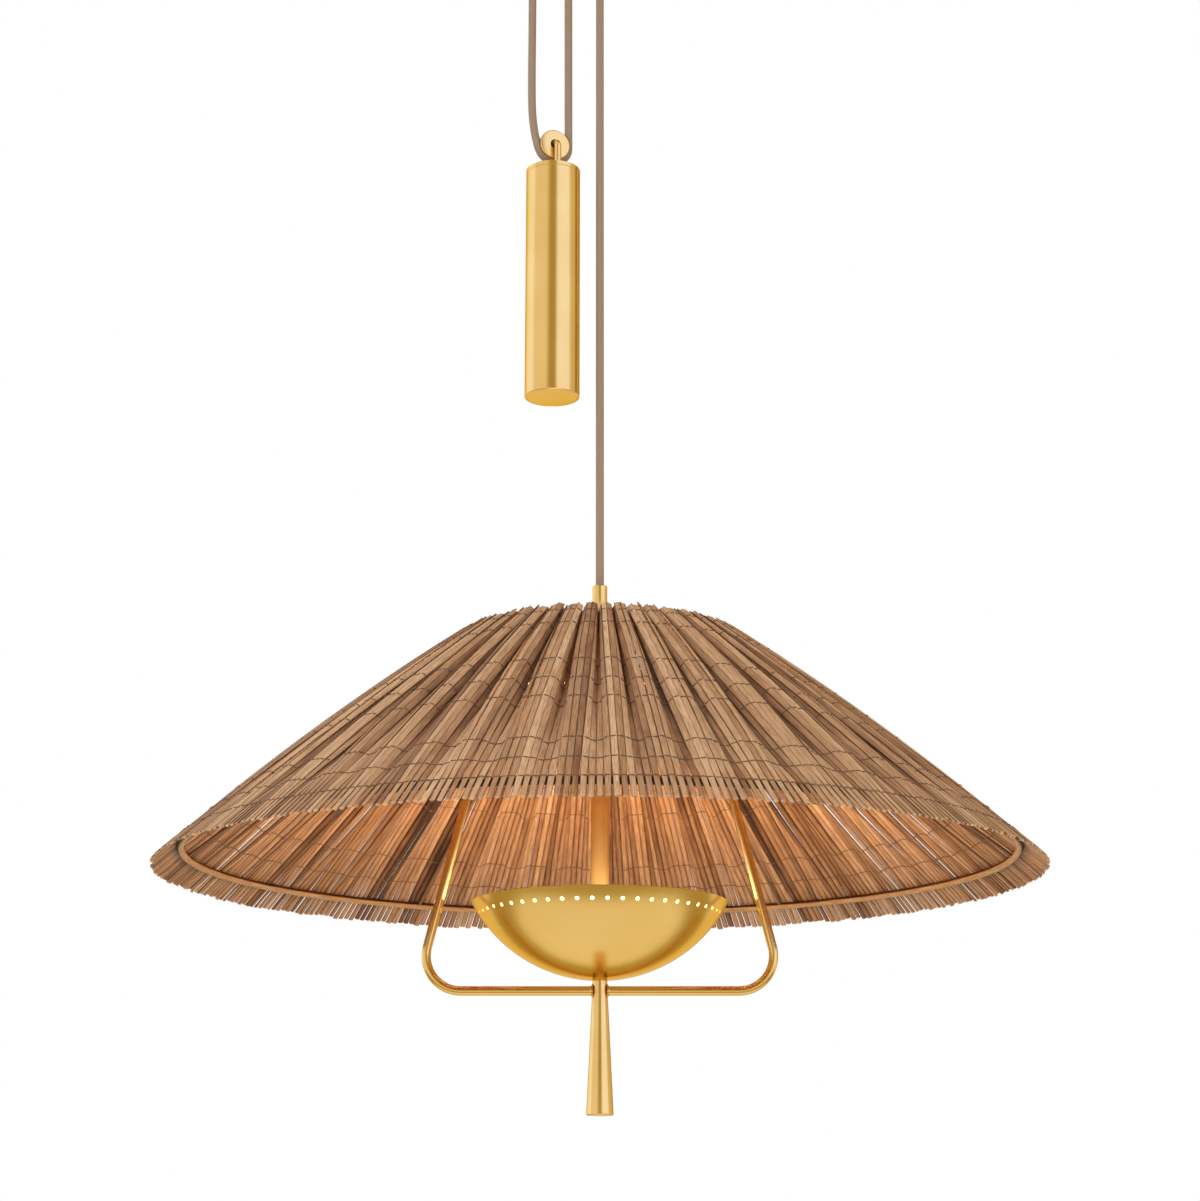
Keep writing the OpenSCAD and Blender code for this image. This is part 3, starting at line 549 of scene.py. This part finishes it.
# Middle, across and out vectors of every slat at distance s down the mat: on the cone,
# plus the bow 4 f (1 - f), plus the crest's height that dies away to the hoop, less the
# drop into the valleys. The last value is that drop's share of its full depth.
def matAt(s):
    f = s / matRun
    phase, drop, length = pleatOutline(s)
    number = np.arange(mat["pleats"])[:, None]
    here = np.interp(slatPleat + inPleat, (number + length / length[:, -1:]).ravel(),
                     (number + phase).ravel()) - slatPleat
    turn = (pleatEnds[slatPleat] + here * pleatSlats[slatPleat]) * 2 * np.pi / mat["slats"]
    sunk = np.interp(here, phase, drop)
    lift = (4 * mat["bow"] * f * (1 - f) + mat["crest"] * max(0.0, 1 - s / mat["toHoop"])
            - pleatDepth(s) * pleatDeep[slatPleat] * sunk
            + mat["liftVary"] * slatJitter[:, 0] * (1 - 0.6 * f))
    radius = mat["topR"] + s * slopeCos + lift * slopeSin
    z = mat["topZ"] - s * slopeSin + lift * slopeCos
    turn = turn + (slatJitter[:, 1] * mat["stray"]
                   + slatJitter[:, 2] * mat["snake"] * math.sin(4 * f)) / radius
    middle = np.stack([radius * np.cos(turn), radius * np.sin(turn), z], 1)
    down = np.stack([np.cos(turn) * slopeCos, np.sin(turn) * slopeCos, 0 * turn - slopeSin],
                    1)
    across = unit(np.roll(middle, -1, 0) - np.roll(middle, 1, 0))
    across = unit(across - (across * down).sum(1, keepdims=True) * down)
    return middle, across, np.cross(across, down), sunk


# Each slat: a flat section with a crowned face, carried down its stations, so that corner
# j lies at middle + half ovalX[j] x + high[j] y. Its tone is painted darker deep in the
# folds and along its long edges, as painted shade. The cut ends are paler.
def slatMat():
    n, stations = mat["slats"], mat["stations"]
    fractions = np.concatenate([[0, 0.004], np.linspace(0.05, 0.95, stations - 4),
                                [0.996, 1]])
    ovalX = np.array([-1, -0.84, -0.34, 0.34, 0.84, 1, 0.8, -0.8])
    ovalY = np.array([-0.45, 0.45, 1, 1, 0.45, -0.45, -1, -1])
    high = np.where(ovalY > 0, mat["thick"] / 2 + mat["crown"], mat["thick"] / 2) * ovalY
    sides = len(ovalX)
    start = mat["startAt"] + mat["startVary"] * np.clip(slatJitter[:, 3], -1.6, 1.6)
    end = mat["endVary"] * np.clip(slatJitter[:, 4], -2, 1)
    wide = 1 + mat["wideVary"] * np.clip(chance.normal(0, 1, n), -2, 1.6)
    roll = mat["rollVary"] * np.clip(chance.normal(0, 1, n), -2, 2)
    tone = np.clip(mat["tone"] + mat["toneVary"] * chance.normal(0, 1, n), mat["toneLow"],
                   mat["toneHigh"])
    grid = np.zeros((stations, n, sides, 3))
    lengths, foldShade = np.zeros((stations, n)), np.zeros((stations, n))
    for k, f in enumerate(fractions):
        s = f * matRun
        middle, across, out, sunk = matAt(s)
        down = unit(matAt(s + 1.0)[0] - middle)
        slide = start * (1 - f) ** 6 + end * f ** 6
        middle = middle + down * slide[:, None]
        x = np.cos(roll)[:, None] * across + np.sin(roll)[:, None] * out
        y = np.cos(roll)[:, None] * out - np.sin(roll)[:, None] * across
        half = slatWidth(s, sunk) / 2 * wide
        grid[k] = middle[:, None] + (half[:, None, None] * ovalX[None, :, None] * x[:, None]
                                     + high[None, :, None] * y[:, None])
        lengths[k] = s + slide
        foldShade[k] = sunk * (1 - f)
    first = np.arange(n) * stations * sides
    quads, corner = gridQuads(stations, sides, False, True)
    faces = (quads[None] + first[:, None, None]).reshape(-1, 4)
    loop = np.arange(sides)
    caps = np.stack([first[:, None] + loop[::-1],
                     first[:, None] + (stations - 1) * sides + loop], 1).reshape(-1, sides)
    shift = chance.uniform(0, 4, (n, 2))
    step = np.hypot(np.diff(ovalX, append=ovalX[:1]) * mat["grainHalf"],
                    np.diff(high, append=high[:1]))
    u = np.cumsum(np.concatenate([[0], step])) * mm
    uv = np.zeros((n, len(corner), 4, 2))
    uv[..., 0] = u[corner[..., 0]][None] + shift[:, None, None, 0]
    uv[..., 1] = (lengths.T * mm)[:, corner[..., 1]] + shift[:, None, None, 1]
    capUv = np.repeat(uv[:, :1, :1], 2 * sides, 2).reshape(-1, 2)
    # Painted shade: the tone darkens where a slat lies sunk in a fold, fading towards the
    # tips.
    tones = np.repeat((tone[:, None] + mat["foldShading"] * foldShade.T)[:, :, None], sides, 2)
    # Painted shade: dark lines along each slat's long edges and a slight darkening at its
    # shoulders, as the shade between slats.
    tones[:, :, [0, 5]] += mat["edgeShade"]
    tones[:, :, [1, 4]] += mat["cornerShade"]
    tones[:, -1] += mat["atCut"]
    makePiece("slat_mat_pleated", grid.transpose(1, 0, 2, 3) * mm,
              faces.tolist() + caps.tolist(), "lamp", "cane", caneSkin, ["slat_mat"],
              np.vstack([uv.reshape(-1, 2), capUv]), tones, sharp=50)


slatMat()
print("pendant: slat mat made")


# Threads: two strands a row, twined before and behind each slat in turn.
threads = {"rows": (12.0, 41.0, 115.0, 150.0, 182.0, 249.0, 278.0, 305.0), "thick": 0.8,
           "sides": 6, "wave": 0.5, "ripple": 0.3, "stray": 0.3, "over": 0.3, "under": 0.42,
           "reach": 0.27, "twist": 0.22}


# One strand at distance s: three points a slat, middle - reach + face, middle + reach +
# face and the gap to the next slat, where face is out in front of the slat or behind it.
def strand(s, sign):
    middle, across, out, sunk = matAt(s)
    down = unit(matAt(s + 1.0)[0] - middle)
    wander = (threads["wave"] * np.sin(3 * slatTurn + s)
              + threads["ripple"] * np.sin(11 * slatTurn + 2 * s))
    middle = middle + down * (wander + threads["stray"] * slatJitter[:, 5])[:, None]
    side = sign * np.where(np.arange(mat["slats"]) % 2 == 0, 1.0, -1.0)[:, None]
    front = mat["thick"] / 2 + mat["crown"] + threads["thick"] * threads["over"]
    back = mat["thick"] / 2 + threads["thick"] * threads["under"]
    face = np.where(side > 0, front, -back) * out
    reach = across * slatWidth(s, sunk)[:, None] * threads["reach"]
    gap = (middle + np.roll(middle, -1, 0)) / 2 + down * threads["twist"] * sign
    return np.stack([middle - reach + face, middle + reach + face, gap], 1).reshape(-1, 3) * mm


for row, s in enumerate(threads["rows"], 1):
    strands, uvs = [], []
    for sign in (1, -1):
        path = strand(s, sign)
        *made, corner = carried(path, threads["thick"] / 2 * mm, threads["sides"],
                                (0, 0, 1), closed=True)
        strands.append(made)
        uvs.append(tubeUv(path, threads["thick"] / 2 * mm, threads["sides"], corner, True))
    makePiece(f"thread_row_{row}", *together(strands), "lamp", "thread",
              paints["twistThread"], ["rim_stitches"] if s == mat["toHoop"] else (),
              np.vstack(uvs), weld=False)
print("pendant: threads twined")

# Hoop: a round cane bound with a narrow strip.
hoop = {"r": 357.73, "z": -904.57, "thick": 6.5, "turns": 430, "around": 2150, "sides": 14,
        "least": 0.92, "swell": 0.09, "shadeFrom": -0.9, "shadeTo": 2.9, "dark": 0.04,
        "pale": 0.72}


# The bound section's radius is thick / 2 (least + swell sqrt |sin((turns a - b) / 2)|),
# with a round the level circle and b round the section. Its side by the slats is painted
# dark, as the shadow between the hoop and the slats.
def boundHoop():
    a, b = roundTurns(hoop["around"]), roundTurns(hoop["sides"])
    wave = np.abs(np.sin((hoop["turns"] * a[:, None] - b[None]) / 2))
    radius = hoop["thick"] / 2 * (hoop["least"] + hoop["swell"] * wave ** 0.5)
    r = hoop["r"] + radius * np.cos(b)
    points = np.stack([r * np.cos(a)[:, None], r * np.sin(a)[:, None],
                       hoop["z"] + radius * np.sin(b)], 2) * mm
    faces, corner = gridQuads(hoop["around"], hoop["sides"], True, True)
    # Painted shade: the part of the section that faces the slats gets the dark tone.
    shaded = (b < hoop["shadeTo"]) | (b > 2 * np.pi + hoop["shadeFrom"])
    tone = np.tile(np.where(shaded, hoop["dark"], hoop["pale"]), (hoop["around"], 1))
    step = (hoop["thick"] * np.pi / hoop["sides"], 2 * np.pi * hoop["r"] / hoop["around"])
    makePiece("rim_hoop_bound", points, faces, "lamp", "hoop_cane", hoopSkin, ["rim_hoop"],
              corner * step * mm, tone, sharp=60)


boundHoop()

# Bowl: a spun brass cap with a ring of round holes under its rim.
bowl = {"ball": 124.6667, "centreZ": -885.3333, "wall": 0.9, "rimZ": -944.0, "bore": 4.9,
        "holes": 52, "holeR": 1.65, "holeZ": -954.0, "edge": 8, "rings": 30, "collar": 4,
        "bandHalf": 5.2, "loops": (0, 0.16, 0.45, 1.0)}


# Direction (turn, dip) on the ball, where dip is the angle up from straight down, goes
# to centre + R (sin dip cos turn, sin dip sin turn, -cos dip). The band with the holes
# is made of cells: each has loops that go from the hole's circle out to the cell's edge.
def bowlShell():
    ball = bowl["ball"]
    cell = 2 * np.pi / bowl["holes"]
    holeDip = math.acos((bowl["centreZ"] - bowl["holeZ"]) / ball)
    rimDip = math.acos((bowl["centreZ"] - bowl["rimZ"]) / ball)
    boreDip = math.asin(bowl["bore"] / ball)
    halfHigh = bowl["bandHalf"] / ball
    e = bowl["edge"]
    t = np.linspace(-1, 1, e + 1)[:-1]
    square = np.concatenate([np.stack([t, -np.ones(e)], 1), np.stack([np.ones(e), t], 1),
                             np.stack([-t, np.ones(e)], 1), np.stack([-np.ones(e), -t], 1)])
    edgeTurn, edgeDip = square[:, 0] * cell / 2, square[:, 1] * halfHigh
    way = np.arctan2(edgeDip, edgeTurn * math.sin(holeDip))
    small = bowl["holeR"] / ball
    holeTurn, holeDipOff = small * np.cos(way) / math.sin(holeDip), small * np.sin(way)
    out = np.array(bowl["loops"])[:, None]
    turn = holeTurn * (1 - out) + edgeTurn * out
    dip = holeDipOff * (1 - out) + edgeDip * out + holeDip
    quads, _ = gridQuads(len(out), 4 * e, False, True)
    turns, dips, faces, count = [], [], [], 0
    for k in range(bowl["holes"]):
        turns.append((turn + (k + 0.5) * cell).ravel())
        dips.append(dip.ravel())
        faces.append(quads[:, ::-1] + count)
        count += turn.size
    columns = bowl["holes"] * e
    for low, high, rows in ((boreDip, holeDip - halfHigh, bowl["rings"]),
                            (holeDip + halfHigh, rimDip, bowl["collar"])):
        level, full = np.meshgrid(np.linspace(low, high, rows), roundTurns(columns),
                                  indexing="ij")
        turns.append(full.ravel())
        dips.append(level.ravel())
        faces.append(gridQuads(rows, columns, False, True)[0] + count)
        count += full.size
    turns, dips, faces = np.concatenate(turns), np.concatenate(dips), np.vstack(faces)
    way = np.stack([np.sin(dips) * np.cos(turns), np.sin(dips) * np.sin(turns),
                    -np.cos(dips)], 1)
    centre = np.array([0, 0, bowl["centreZ"]])
    mesh = bpy.data.meshes.new("bowl_spun")
    mesh.from_pydata(((centre + ball * way) * mm).tolist(), [], faces.tolist())
    weldPoints(mesh, 1e-6)
    co = np.zeros(len(mesh.vertices) * 3)
    mesh.vertices.foreach_get("co", co)
    outer = co.reshape(-1, 3)
    inner = centre * mm + (outer - centre * mm) * (ball - bowl["wall"]) / ball
    quadsOut = np.array([p.vertices[:] for p in mesh.polygons])
    pairs = np.stack([quadsOut, np.roll(quadsOut, -1, 1)], 2).reshape(-1, 2)
    known = set(map(tuple, pairs.tolist()))
    loose = np.array([p for p in pairs.tolist() if (p[1], p[0]) not in known])
    n = len(outer)
    walls = np.stack([loose[:, 1], loose[:, 0], loose[:, 0] + n, loose[:, 1] + n], 1)
    bpy.data.meshes.remove(mesh)
    makePiece("bowl_spun", np.vstack([outer, inner]),
              np.vstack([quadsOut, quadsOut[:, ::-1] + n, walls]), "lamp", "spun_brass",
              spunBrass, ["bowl"], sharp=30)


bowlShell()
print("pendant: bowl spun")


def brassPiece(name, node, points, faces, body, material=satinBrass):
    makePiece(name, points, faces, body, "satin_brass", material, [node], sharp=40)


# A piece turned about a vertical axis from an outline (r, z) in millimetres, whose corners
# are softened by cuts.
def turnedPiece(name, node, outline, cuts, steps, body, material, centre=(0, 0), sides=96):
    points, faces, _ = turned(softened(outline, cuts, steps) * mm, sides, centre)
    brassPiece(name, node, points, faces, body, material)


# A turned ring or tube between two radii and two heights, its edges eased.
def collar(name, node, inner, outer, low, high, ease, body, material, **where):
    turnedPiece(name, node, [(inner, low), (outer, low), (outer, high), (inner, high),
                             (inner, low)],
                [0, ease, ease, ease * 0.3, 0], 4, body, material, **where)


# Handle, bails, stem.
handle = {"footZ": -1123.0, "topZ": -1009.9, "footR": 11.6, "neckR": 6.4, "neckZ": -1016.0,
          "round": 1.3, "neckRound": 2.5, "ease": 0.1, "bore": 4.95, "boreZ": -1022.0}
footZ, topZ, boreZ = handle["footZ"], handle["topZ"], handle["boreZ"]
neckR, bore, ease = handle["neckR"], handle["bore"], handle["ease"]
turnedPiece("handle_turned", "handle",
            [(0, footZ), (handle["footR"], footZ), (neckR, handle["neckZ"]), (neckR, topZ),
             (bore, topZ), (bore, boreZ), (0, boreZ)],
            [0, handle["round"], handle["neckRound"], ease, ease, 0, 0], 6, "lamp",
            turnedBrass)

bail = {"r": 4.0, "reach": 118.5, "barZ": -1019.0, "bend": 30.0, "lean": 14.0,
        "topBend": 22.0, "topZ": -747.85, "topStart": 7.4, "start": 6.1, "braze": 2.6,
        "inset": 0.45, "sides": 28}


# Centreline of one side, in the plane y = 0: out along the bar, round the lower bend
# (reach + bend cos a, barZ + bend + bend sin a), up the leaning side, round the top bend
# and in to the stem. The radius flares by braze (1 - sqrt(1 - 0.96 away^2)) at the bar's
# foot.
def bailLine():
    lean, bend, topBend = math.radians(bail["lean"]), bail["bend"], bail["topBend"]
    a = np.linspace(-math.pi / 2, lean, 26)
    low = np.stack([bail["reach"] + bend * np.cos(a), bail["barZ"] + bend + bend * np.sin(a)],
                   1)
    lowEnd = low[-1]
    highZ = bail["topZ"] - topBend + topBend * math.sin(lean)
    highX = lowEnd[0] - (highZ - lowEnd[1]) * math.tan(lean)
    b = np.linspace(lean, math.pi / 2, 18)
    high = np.stack([highX - topBend * math.cos(lean) + topBend * np.cos(b),
                     bail["topZ"] - topBend + topBend * np.sin(b)], 1)
    foot = bail["start"] + bail["braze"] * np.linspace(0, 1, 12) ** 1.4
    bar = np.concatenate([foot, np.linspace(foot[-1], bail["reach"], 20)[1:-1]])
    side = np.linspace(lowEnd, high[0], 30)[1:-1]
    back = np.linspace(high[-1, 0], bail["topStart"], 10)[1:]
    line = np.vstack([np.stack([bar, np.full(len(bar), bail["barZ"])], 1), low, side, high,
                      np.stack([back, np.full(len(back), bail["topZ"])], 1)])
    away = np.clip(1 - (line[:, 0] - bail["start"] - bail["inset"])
                   / (bail["braze"] - bail["inset"]), 0, 1)
    away[len(line) // 2:] = 0
    return line, bail["r"] + bail["braze"] * (1 - np.sqrt(1 - 0.96 * away ** 2))


line, radius = bailLine()
for node, way in (("bail_right", 1), ("bail_left", -1)):
    path = np.stack([way * line[:, 0], np.zeros(len(line)), line[:, 1]], 1) * mm
    points, faces, _ = carried(path, radius * mm, bail["sides"])
    brassPiece(node + "_bent", node, points, faces, "lamp")

stem = {"inner": 7.0, "outer": 8.0, "low": -986.1, "high": -737.85, "ease": 0.25}
collar("stem_tube_drawn", "stem_tube", stem["inner"], stem["outer"], stem["low"],
       stem["high"], stem["ease"], "lamp", stemBrass)

# Counterweight.
weight = {"r": 25.0, "top": -261.0, "bottom": -484.0, "cap": 4.0, "wall": 1.5, "ease": 0.45,
          "seam": 0.5, "base": 4.0, "baseGap": 0.05, "baseEase": 0.4}
where = {"centre": (cordSizes["weightX"], 0), "sides": 128}
seamZ = weight["top"] - weight["cap"]
baseR = weight["r"] - weight["wall"] - weight["baseGap"]
baseTop = weight["bottom"] + weight["base"]
turnedPiece("weight_cap_turned", "weight_cap",
            [(0, seamZ), (weight["r"], seamZ), (weight["r"], weight["top"]),
             (0, weight["top"])],
            [0, weight["seam"], weight["ease"], 0], 4, "weight", weightBrass, **where)
collar("weight_tube_drawn", "weight_tube", weight["r"] - weight["wall"], weight["r"],
       weight["bottom"], seamZ, weight["seam"], "weight", weightBrass, **where)
turnedPiece("weight_base_turned", "weight_base",
            [(0, weight["bottom"]), (baseR, weight["bottom"]), (baseR, baseTop),
             (0, baseTop)],
            [0, weight["baseEase"], 0, 0], 3, "weight", weightBrass, **where)

rod = {"r": 3.2, "leg": 12.8, "bend": 6.0, "weightTip": 34.0, "ceilingTip": 33.0, "sides": 28}


# A rod bent to a staple about a pulley: two legs and the crossbar that is its axle,
# along the level direction across, with its legs going to tip. Its bend is the arc
# (flat + bend sin a, bend - bend cos a).
def bentRod(name, node, body, middle, across, tip, down):
    bend, flat = rod["bend"], rod["leg"] - rod["bend"]
    a = np.linspace(0, math.pi / 2, 14)
    corner = np.stack([flat + bend * np.sin(a), bend - bend * np.cos(a)], 1)
    straight = np.stack([np.full(12, rod["leg"]), np.linspace(bend, tip, 13)[1:]], 1)
    half = np.vstack([corner, straight])
    cross = np.stack([np.linspace(-flat, flat, 9)[1:-1], np.zeros(7)], 1)
    line = np.vstack([half[::-1] * np.array([-1, 1]), cross, half])
    way = np.array([0, 0, -1.0 if down else 1.0])
    path = (middle + line[:, :1] * across + line[:, 1:] * way) * mm
    points, faces, _ = carried(path, rod["r"] * mm, rod["sides"], np.cross(across, way))
    brassPiece(name, node, points, faces, body)


acrossWeight = np.array([-yawWay[1], yawWay[0], 0])
acrossCeiling = np.array([0, 1.0, 0])
bentRod("weight_yoke_bent", "weight_yoke", "weight", weightAt, acrossWeight,
        rod["weightTip"], True)
bentRod("ceiling_yoke_bent", "ceiling_yoke", "ceiling", pulleyAt, acrossCeiling,
        rod["ceilingTip"], False)

# Pulleys: a turned wheel with a groove round its edge.
wheel = {"half": 6.0, "r": 14.4, "bore": 4.8, "groove": 4.0, "flat": 1.1, "ease": 0.35,
         "shoulder": 0.9, "lip": 0.15, "sides": 96}


# The outline (radius, along the axle) has a round groove of the cord's own size,
# (pitch - g cos a, g sin a); it is turned about the axle's direction.
def pulleyWheel(name, node, body, middle, axle):
    half, r, g, ease = wheel["half"], wheel["r"], wheel["groove"], wheel["ease"]
    mouth = math.acos((pitch - r) / g)
    a = np.linspace(mouth, -mouth, 26)
    groove = np.stack([pitch - g * np.cos(a), g * np.sin(a)], 1)
    front = [(wheel["bore"], half), (r - wheel["flat"], half), (r - ease, half - ease),
             (r, half - wheel["shoulder"]), (r, groove[0, 1] + wheel["lip"])]
    back = [(x, -y) for x, y in front[::-1]]
    outline = np.vstack([front, groove, back]) * mm
    a = roundTurns(wheel["sides"])
    out, up = np.cross(axle, np.array([0, 0, 1.0])), np.array([0, 0, 1.0])
    points = middle * mm + outline[:, None, 1:] * axle + outline[:, None, :1] * (
        np.cos(a)[None, :, None] * out + np.sin(a)[None, :, None] * up)
    faces, _ = gridQuads(len(outline), wheel["sides"], True, True)
    brassPiece(name, node, points, faces, body)


pulleyWheel("weight_pulley_wheel", "weight_sheave", "weight_pulley", weightAt, acrossWeight)
pulleyWheel("ceiling_pulley_wheel", "ceiling_sheave", "ceiling_pulley", pulleyAt,
            acrossCeiling)
print("pendant: pulleys and counterweight made")

# Canopy: a cup whose mouth is at the ceiling.
canopy = {"r": 80.0, "high": 34.0, "wall": 1.5, "corner": 8.0, "ease": 0.4}
within, floorIn = canopy["r"] - canopy["wall"], canopy["wall"] - canopy["high"]
turnedPiece("canopy_spun", "canopy",
            [(0, -canopy["high"]), (canopy["r"], -canopy["high"]), (canopy["r"], 0),
             (within, 0), (within, floorIn), (0, floorIn)],
            [0, canopy["corner"], canopy["ease"], canopy["ease"],
             canopy["corner"] - canopy["wall"], 0], 10, "ceiling", turnedBrass, sides=180)


# Nodes whose own shape is right: a welded copy, smooth but for its edges.
def smoothCopy(node, material, body):
    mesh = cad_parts[node].data.copy()
    mesh.materials.clear()
    weldPoints(mesh, 2e-6)
    piece = putMesh(node + "_smooth", mesh, material, 32)
    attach(piece, body)
    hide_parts(node)


for nodes, slot, material, body in (
        ("gland", "satin_brass", turnedBrass, "lamp"),
        ("cord_grip canopy_nuts", "satin_brass", turnedBrass, "ceiling"),
        ("canopy_studs", "plain_steel", paints["plainSteel"], "ceiling"),
        ("top_ring shade_spider shade_ribs", "frame_wire", paints["frameWire"], "lamp"),
        ("weight_bush", "nylon", paints["blackNylon"], "weight_pulley"),
        ("ceiling_bush", "nylon", paints["blackNylon"], "ceiling_pulley"),
        ("diffuser", "opal", opalGlow, "lamp"),
        ("nipple bowl_spacer", "plain_steel", paints["plainSteel"], "lamp")):
    for node in nodes.split():
        smoothCopy(node, material, body)

for paint, nodes in (
        ("plainSteel", "mounting_strap load_plate grip_nut ceiling_yoke_nuts gland_screw"
                       " weight_yoke_nuts stem_top_bush stem_foot_bush"),
        ("whitePlastic", "led_driver"), ("palePlastic", "terminal_block"),
        ("ballast", "weight_core"), ("alloy", "heat_spreader"),
        ("boardMask", "led_board"), ("flexSkin", "stem_cable")):
    for node in nodes.split():
        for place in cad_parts[node].material_slots:
            place.material = paints[paint]

leads = {"r": 1.1, "fromX": 47.0, "toX": 55.0, "bowed": 5.0, "z": -25.0, "y": 26 / 3,
         "sag": 0.6, "stations": 13, "sides": 14}
wires = []
for side in (-1, 1):
    x = np.linspace(leads["fromX"], leads["toX"], leads["stations"])
    bow = leads["sag"] * np.sin(np.pi * np.clip((x - leads["fromX"]) / leads["bowed"], 0, 1))
    path = np.stack([x, np.full(len(x), side * leads["y"]), leads["z"] - bow], 1) * mm
    wires.append(carried(path, leads["r"] * mm, leads["sides"])[:2])
makePiece("supply_leads_bowed", *together(wires), "ceiling", "lead_pair",
          paints["leadPlastic"], ["supply_leads"])
print("pendant: fittings dressed")

# Floor, studio light and the lamp's own glow.
studio = {
    "floorZ": -1.62, "floorHalf": 14.0, "lift": 0.92, "liftPart": 0.6, "worldFill": 0.46,
    "floorWarm": (1, 0.95, 0.7, 1), "floorDark": (0.48, 0.38, 0.12, 1),
    "bright": (1.18, 1.28, 1.58), "mid": (1.0, 0.94, 0.8), "gold": (0.8, 0.7, 0.42),
    "dark": (0.52, 0.4, 0.13),
    "room": ((0.0, "bright"), (0.03, "mid"), (0.18, "mid"), (0.222, "dark"),
             (0.285, "dark"), (0.313, "bright"), (0.455, "bright"), (0.49, "gold"),
             (0.6, "gold"), (0.66, "dark"), (0.72, "dark"), (0.82, "gold"),
             (0.90, "bright"), (1.0, "bright")),
    "bulb": 0.9, "bulbSize": 0.19, "bulbZ": -0.946, "bulbColour": (1.0, 0.66, 0.33),
    "spill": 2.6, "spillSize": 0.06, "spillZ": -0.905, "spillColour": (1.0, 0.62, 0.27),
}


# One shader where the source's output is 0 and the other where it is 1.
def mixShaders(tree, source, output, first, second):
    made = addNode(tree, "MixShader")
    join(tree, source, output, made, "Fac")
    join(tree, first, 0, made, 1)
    join(tree, second, 0, made, 2)
    return made


# The floor is near white to the camera; in metal it goes from warm to dark and at last to
# white, by the length of (0.31 x, 0.54 y - 0.02).
def floorLook():
    material, tree, shader = newMaterial("floorPaint", Roughness=0.9)
    out = shader.outputs["BSDF"].links[0].to_node
    join(tree, ramp(tree, objectNoise(tree, 3), "Fac",
                    [(0.0, tint(236, 236, 236)), (1.0, tint(240, 240, 240))]),
         "Color", shader, "Base Color")
    flat = addNode(tree, "Mapping",
                   {"Location": (0, -0.02, 0), "Scale": (0.31, 0.54, 0)})
    reach = addNode(tree, "VectorMath", operation="LENGTH")
    join(tree, addNode(tree, "TexCoord"), "Object", flat, "Vector")
    join(tree, flat, "Vector", reach, 0)
    mirror = addNode(tree, "Emission", {"Strength": 1.0})
    join(tree, ramp(tree, reach, "Value", [
        (0.0, studio["floorWarm"]), (0.25, studio["floorWarm"]), (0.32, (0.56, 0.47, 0.18, 1)),
        (0.4, studio["floorDark"]), (0.7, studio["floorDark"]), (0.8, (1, 0.95, 0.84, 1))]),
         "Color", mirror, "Color")
    lift = addNode(tree, "Emission", {"Color": (1, 1, 1, 1),
                                                "Strength": studio["lift"]})
    part = addNode(tree, "Math", {1: studio["liftPart"]}, operation="MULTIPLY")
    rays = addNode(tree, "LightPath")
    join(tree, rays, "Is Camera Ray", part, 0)
    seen = mixShaders(tree, part, "Value", shader, lift)
    join(tree, mixShaders(tree, rays, "Is Glossy Ray", seen, mirror), 0, out, "Surface")
    return material


def makeFloor():
    mesh = bpy.data.meshes.new("floor")
    half = studio["floorHalf"]
    mesh.from_pydata([(x, y, studio["floorZ"]) for x, y in
                      ((-half, -half), (half, -half), (half, half), (-half, half))], [],
                     [(0, 1, 2, 3)])
    mesh.materials.append(floorLook())
    floor = bpy.data.objects.new("floor", mesh)
    scene.collection.objects.link(floor)


# Studio all round: white where the camera looks, and in metal a white room with a warm
# dark side where the camera stands. The ramp runs once round the compass from the left.
def makeWorld():
    world = bpy.data.worlds.new("studio")
    scene.world = world
    world.use_nodes = True
    tree = world.node_tree
    tree.nodes.clear()
    rays = addNode(tree, "LightPath")
    seen = addNode(tree, "Math", operation="MAXIMUM")
    join(tree, rays, "Is Camera Ray", seen, 0)
    join(tree, rays, "Is Transmission Ray", seen, 1)
    white, fill, mirror = (
        addNode(tree, "Background", {"Color": (1, 1, 1, 1), "Strength": strength})
        for strength in (1.0, studio["worldFill"], 1.0))
    compass = addNode(tree, "TexGradient", gradient_type="RADIAL")
    join(tree, addNode(tree, "TexCoord"), "Generated", compass, "Vector")
    room = ramp(tree, compass, "Fac", [(place, studio[shade] + (1,))
                                       for place, shade in studio["room"]])
    join(tree, room, "Color", mirror, "Color")
    inMetal = mixShaders(tree, rays, "Is Glossy Ray", fill, mirror)
    whole = mixShaders(tree, seen, "Value", inMetal, white)
    join(tree, whole, 0, addNode(tree, "OutputWorld"), "Surface")


# No light shows in metal: the room above already stands for them there.
def putLight(data, place):
    lamp = bpy.data.objects.new(data.name, data)
    lamp.location = place
    lamp.visible_glossy = False
    scene.collection.objects.link(lamp)
    return lamp


def softbox(name, place, target, width, height, power):
    data = bpy.data.lights.new(name, "AREA")
    data.shape, data.size, data.size_y = "RECTANGLE", width, height
    data.energy = power
    lamp = putLight(data, place)
    lamp.rotation_euler = (Vector(target) - Vector(place)).to_track_quat("-Z", "Y").to_euler()


# The LED board shines up at the opal, and a small source inside the bowl lights its holes
# and the shade round it.
def lampGlow():
    s = studio
    glow = bpy.data.lights.new("bowlGlow", "AREA")
    glow.shape, glow.size, glow.energy, glow.color = (
        "DISK", s["bulbSize"], s["bulb"], s["bulbColour"])
    putLight(glow, (0, 0, s["bulbZ"])).rotation_euler = (math.pi, 0, 0)
    spill = bpy.data.lights.new("bowlSpill", "POINT")
    spill.energy, spill.shadow_soft_size, spill.color = (
        s["spill"], s["spillSize"], s["spillColour"])
    putLight(spill, (0, 0, s["spillZ"])).visible_camera = False


makeFloor()
makeWorld()
middle = (0, 0, -0.65)
softbox("keyLeft", (-2.0, -1.9, 0.3), middle, 1.3, 1.6, 41)
softbox("fillRight", (2.1, -1.5, 0.2), middle, 1.2, 1.6, 26)
softbox("topSoft", (0.2, 0.6, 1.6), middle, 1.8, 1.8, 27)
lampGlow()
print("pendant: studio lit")
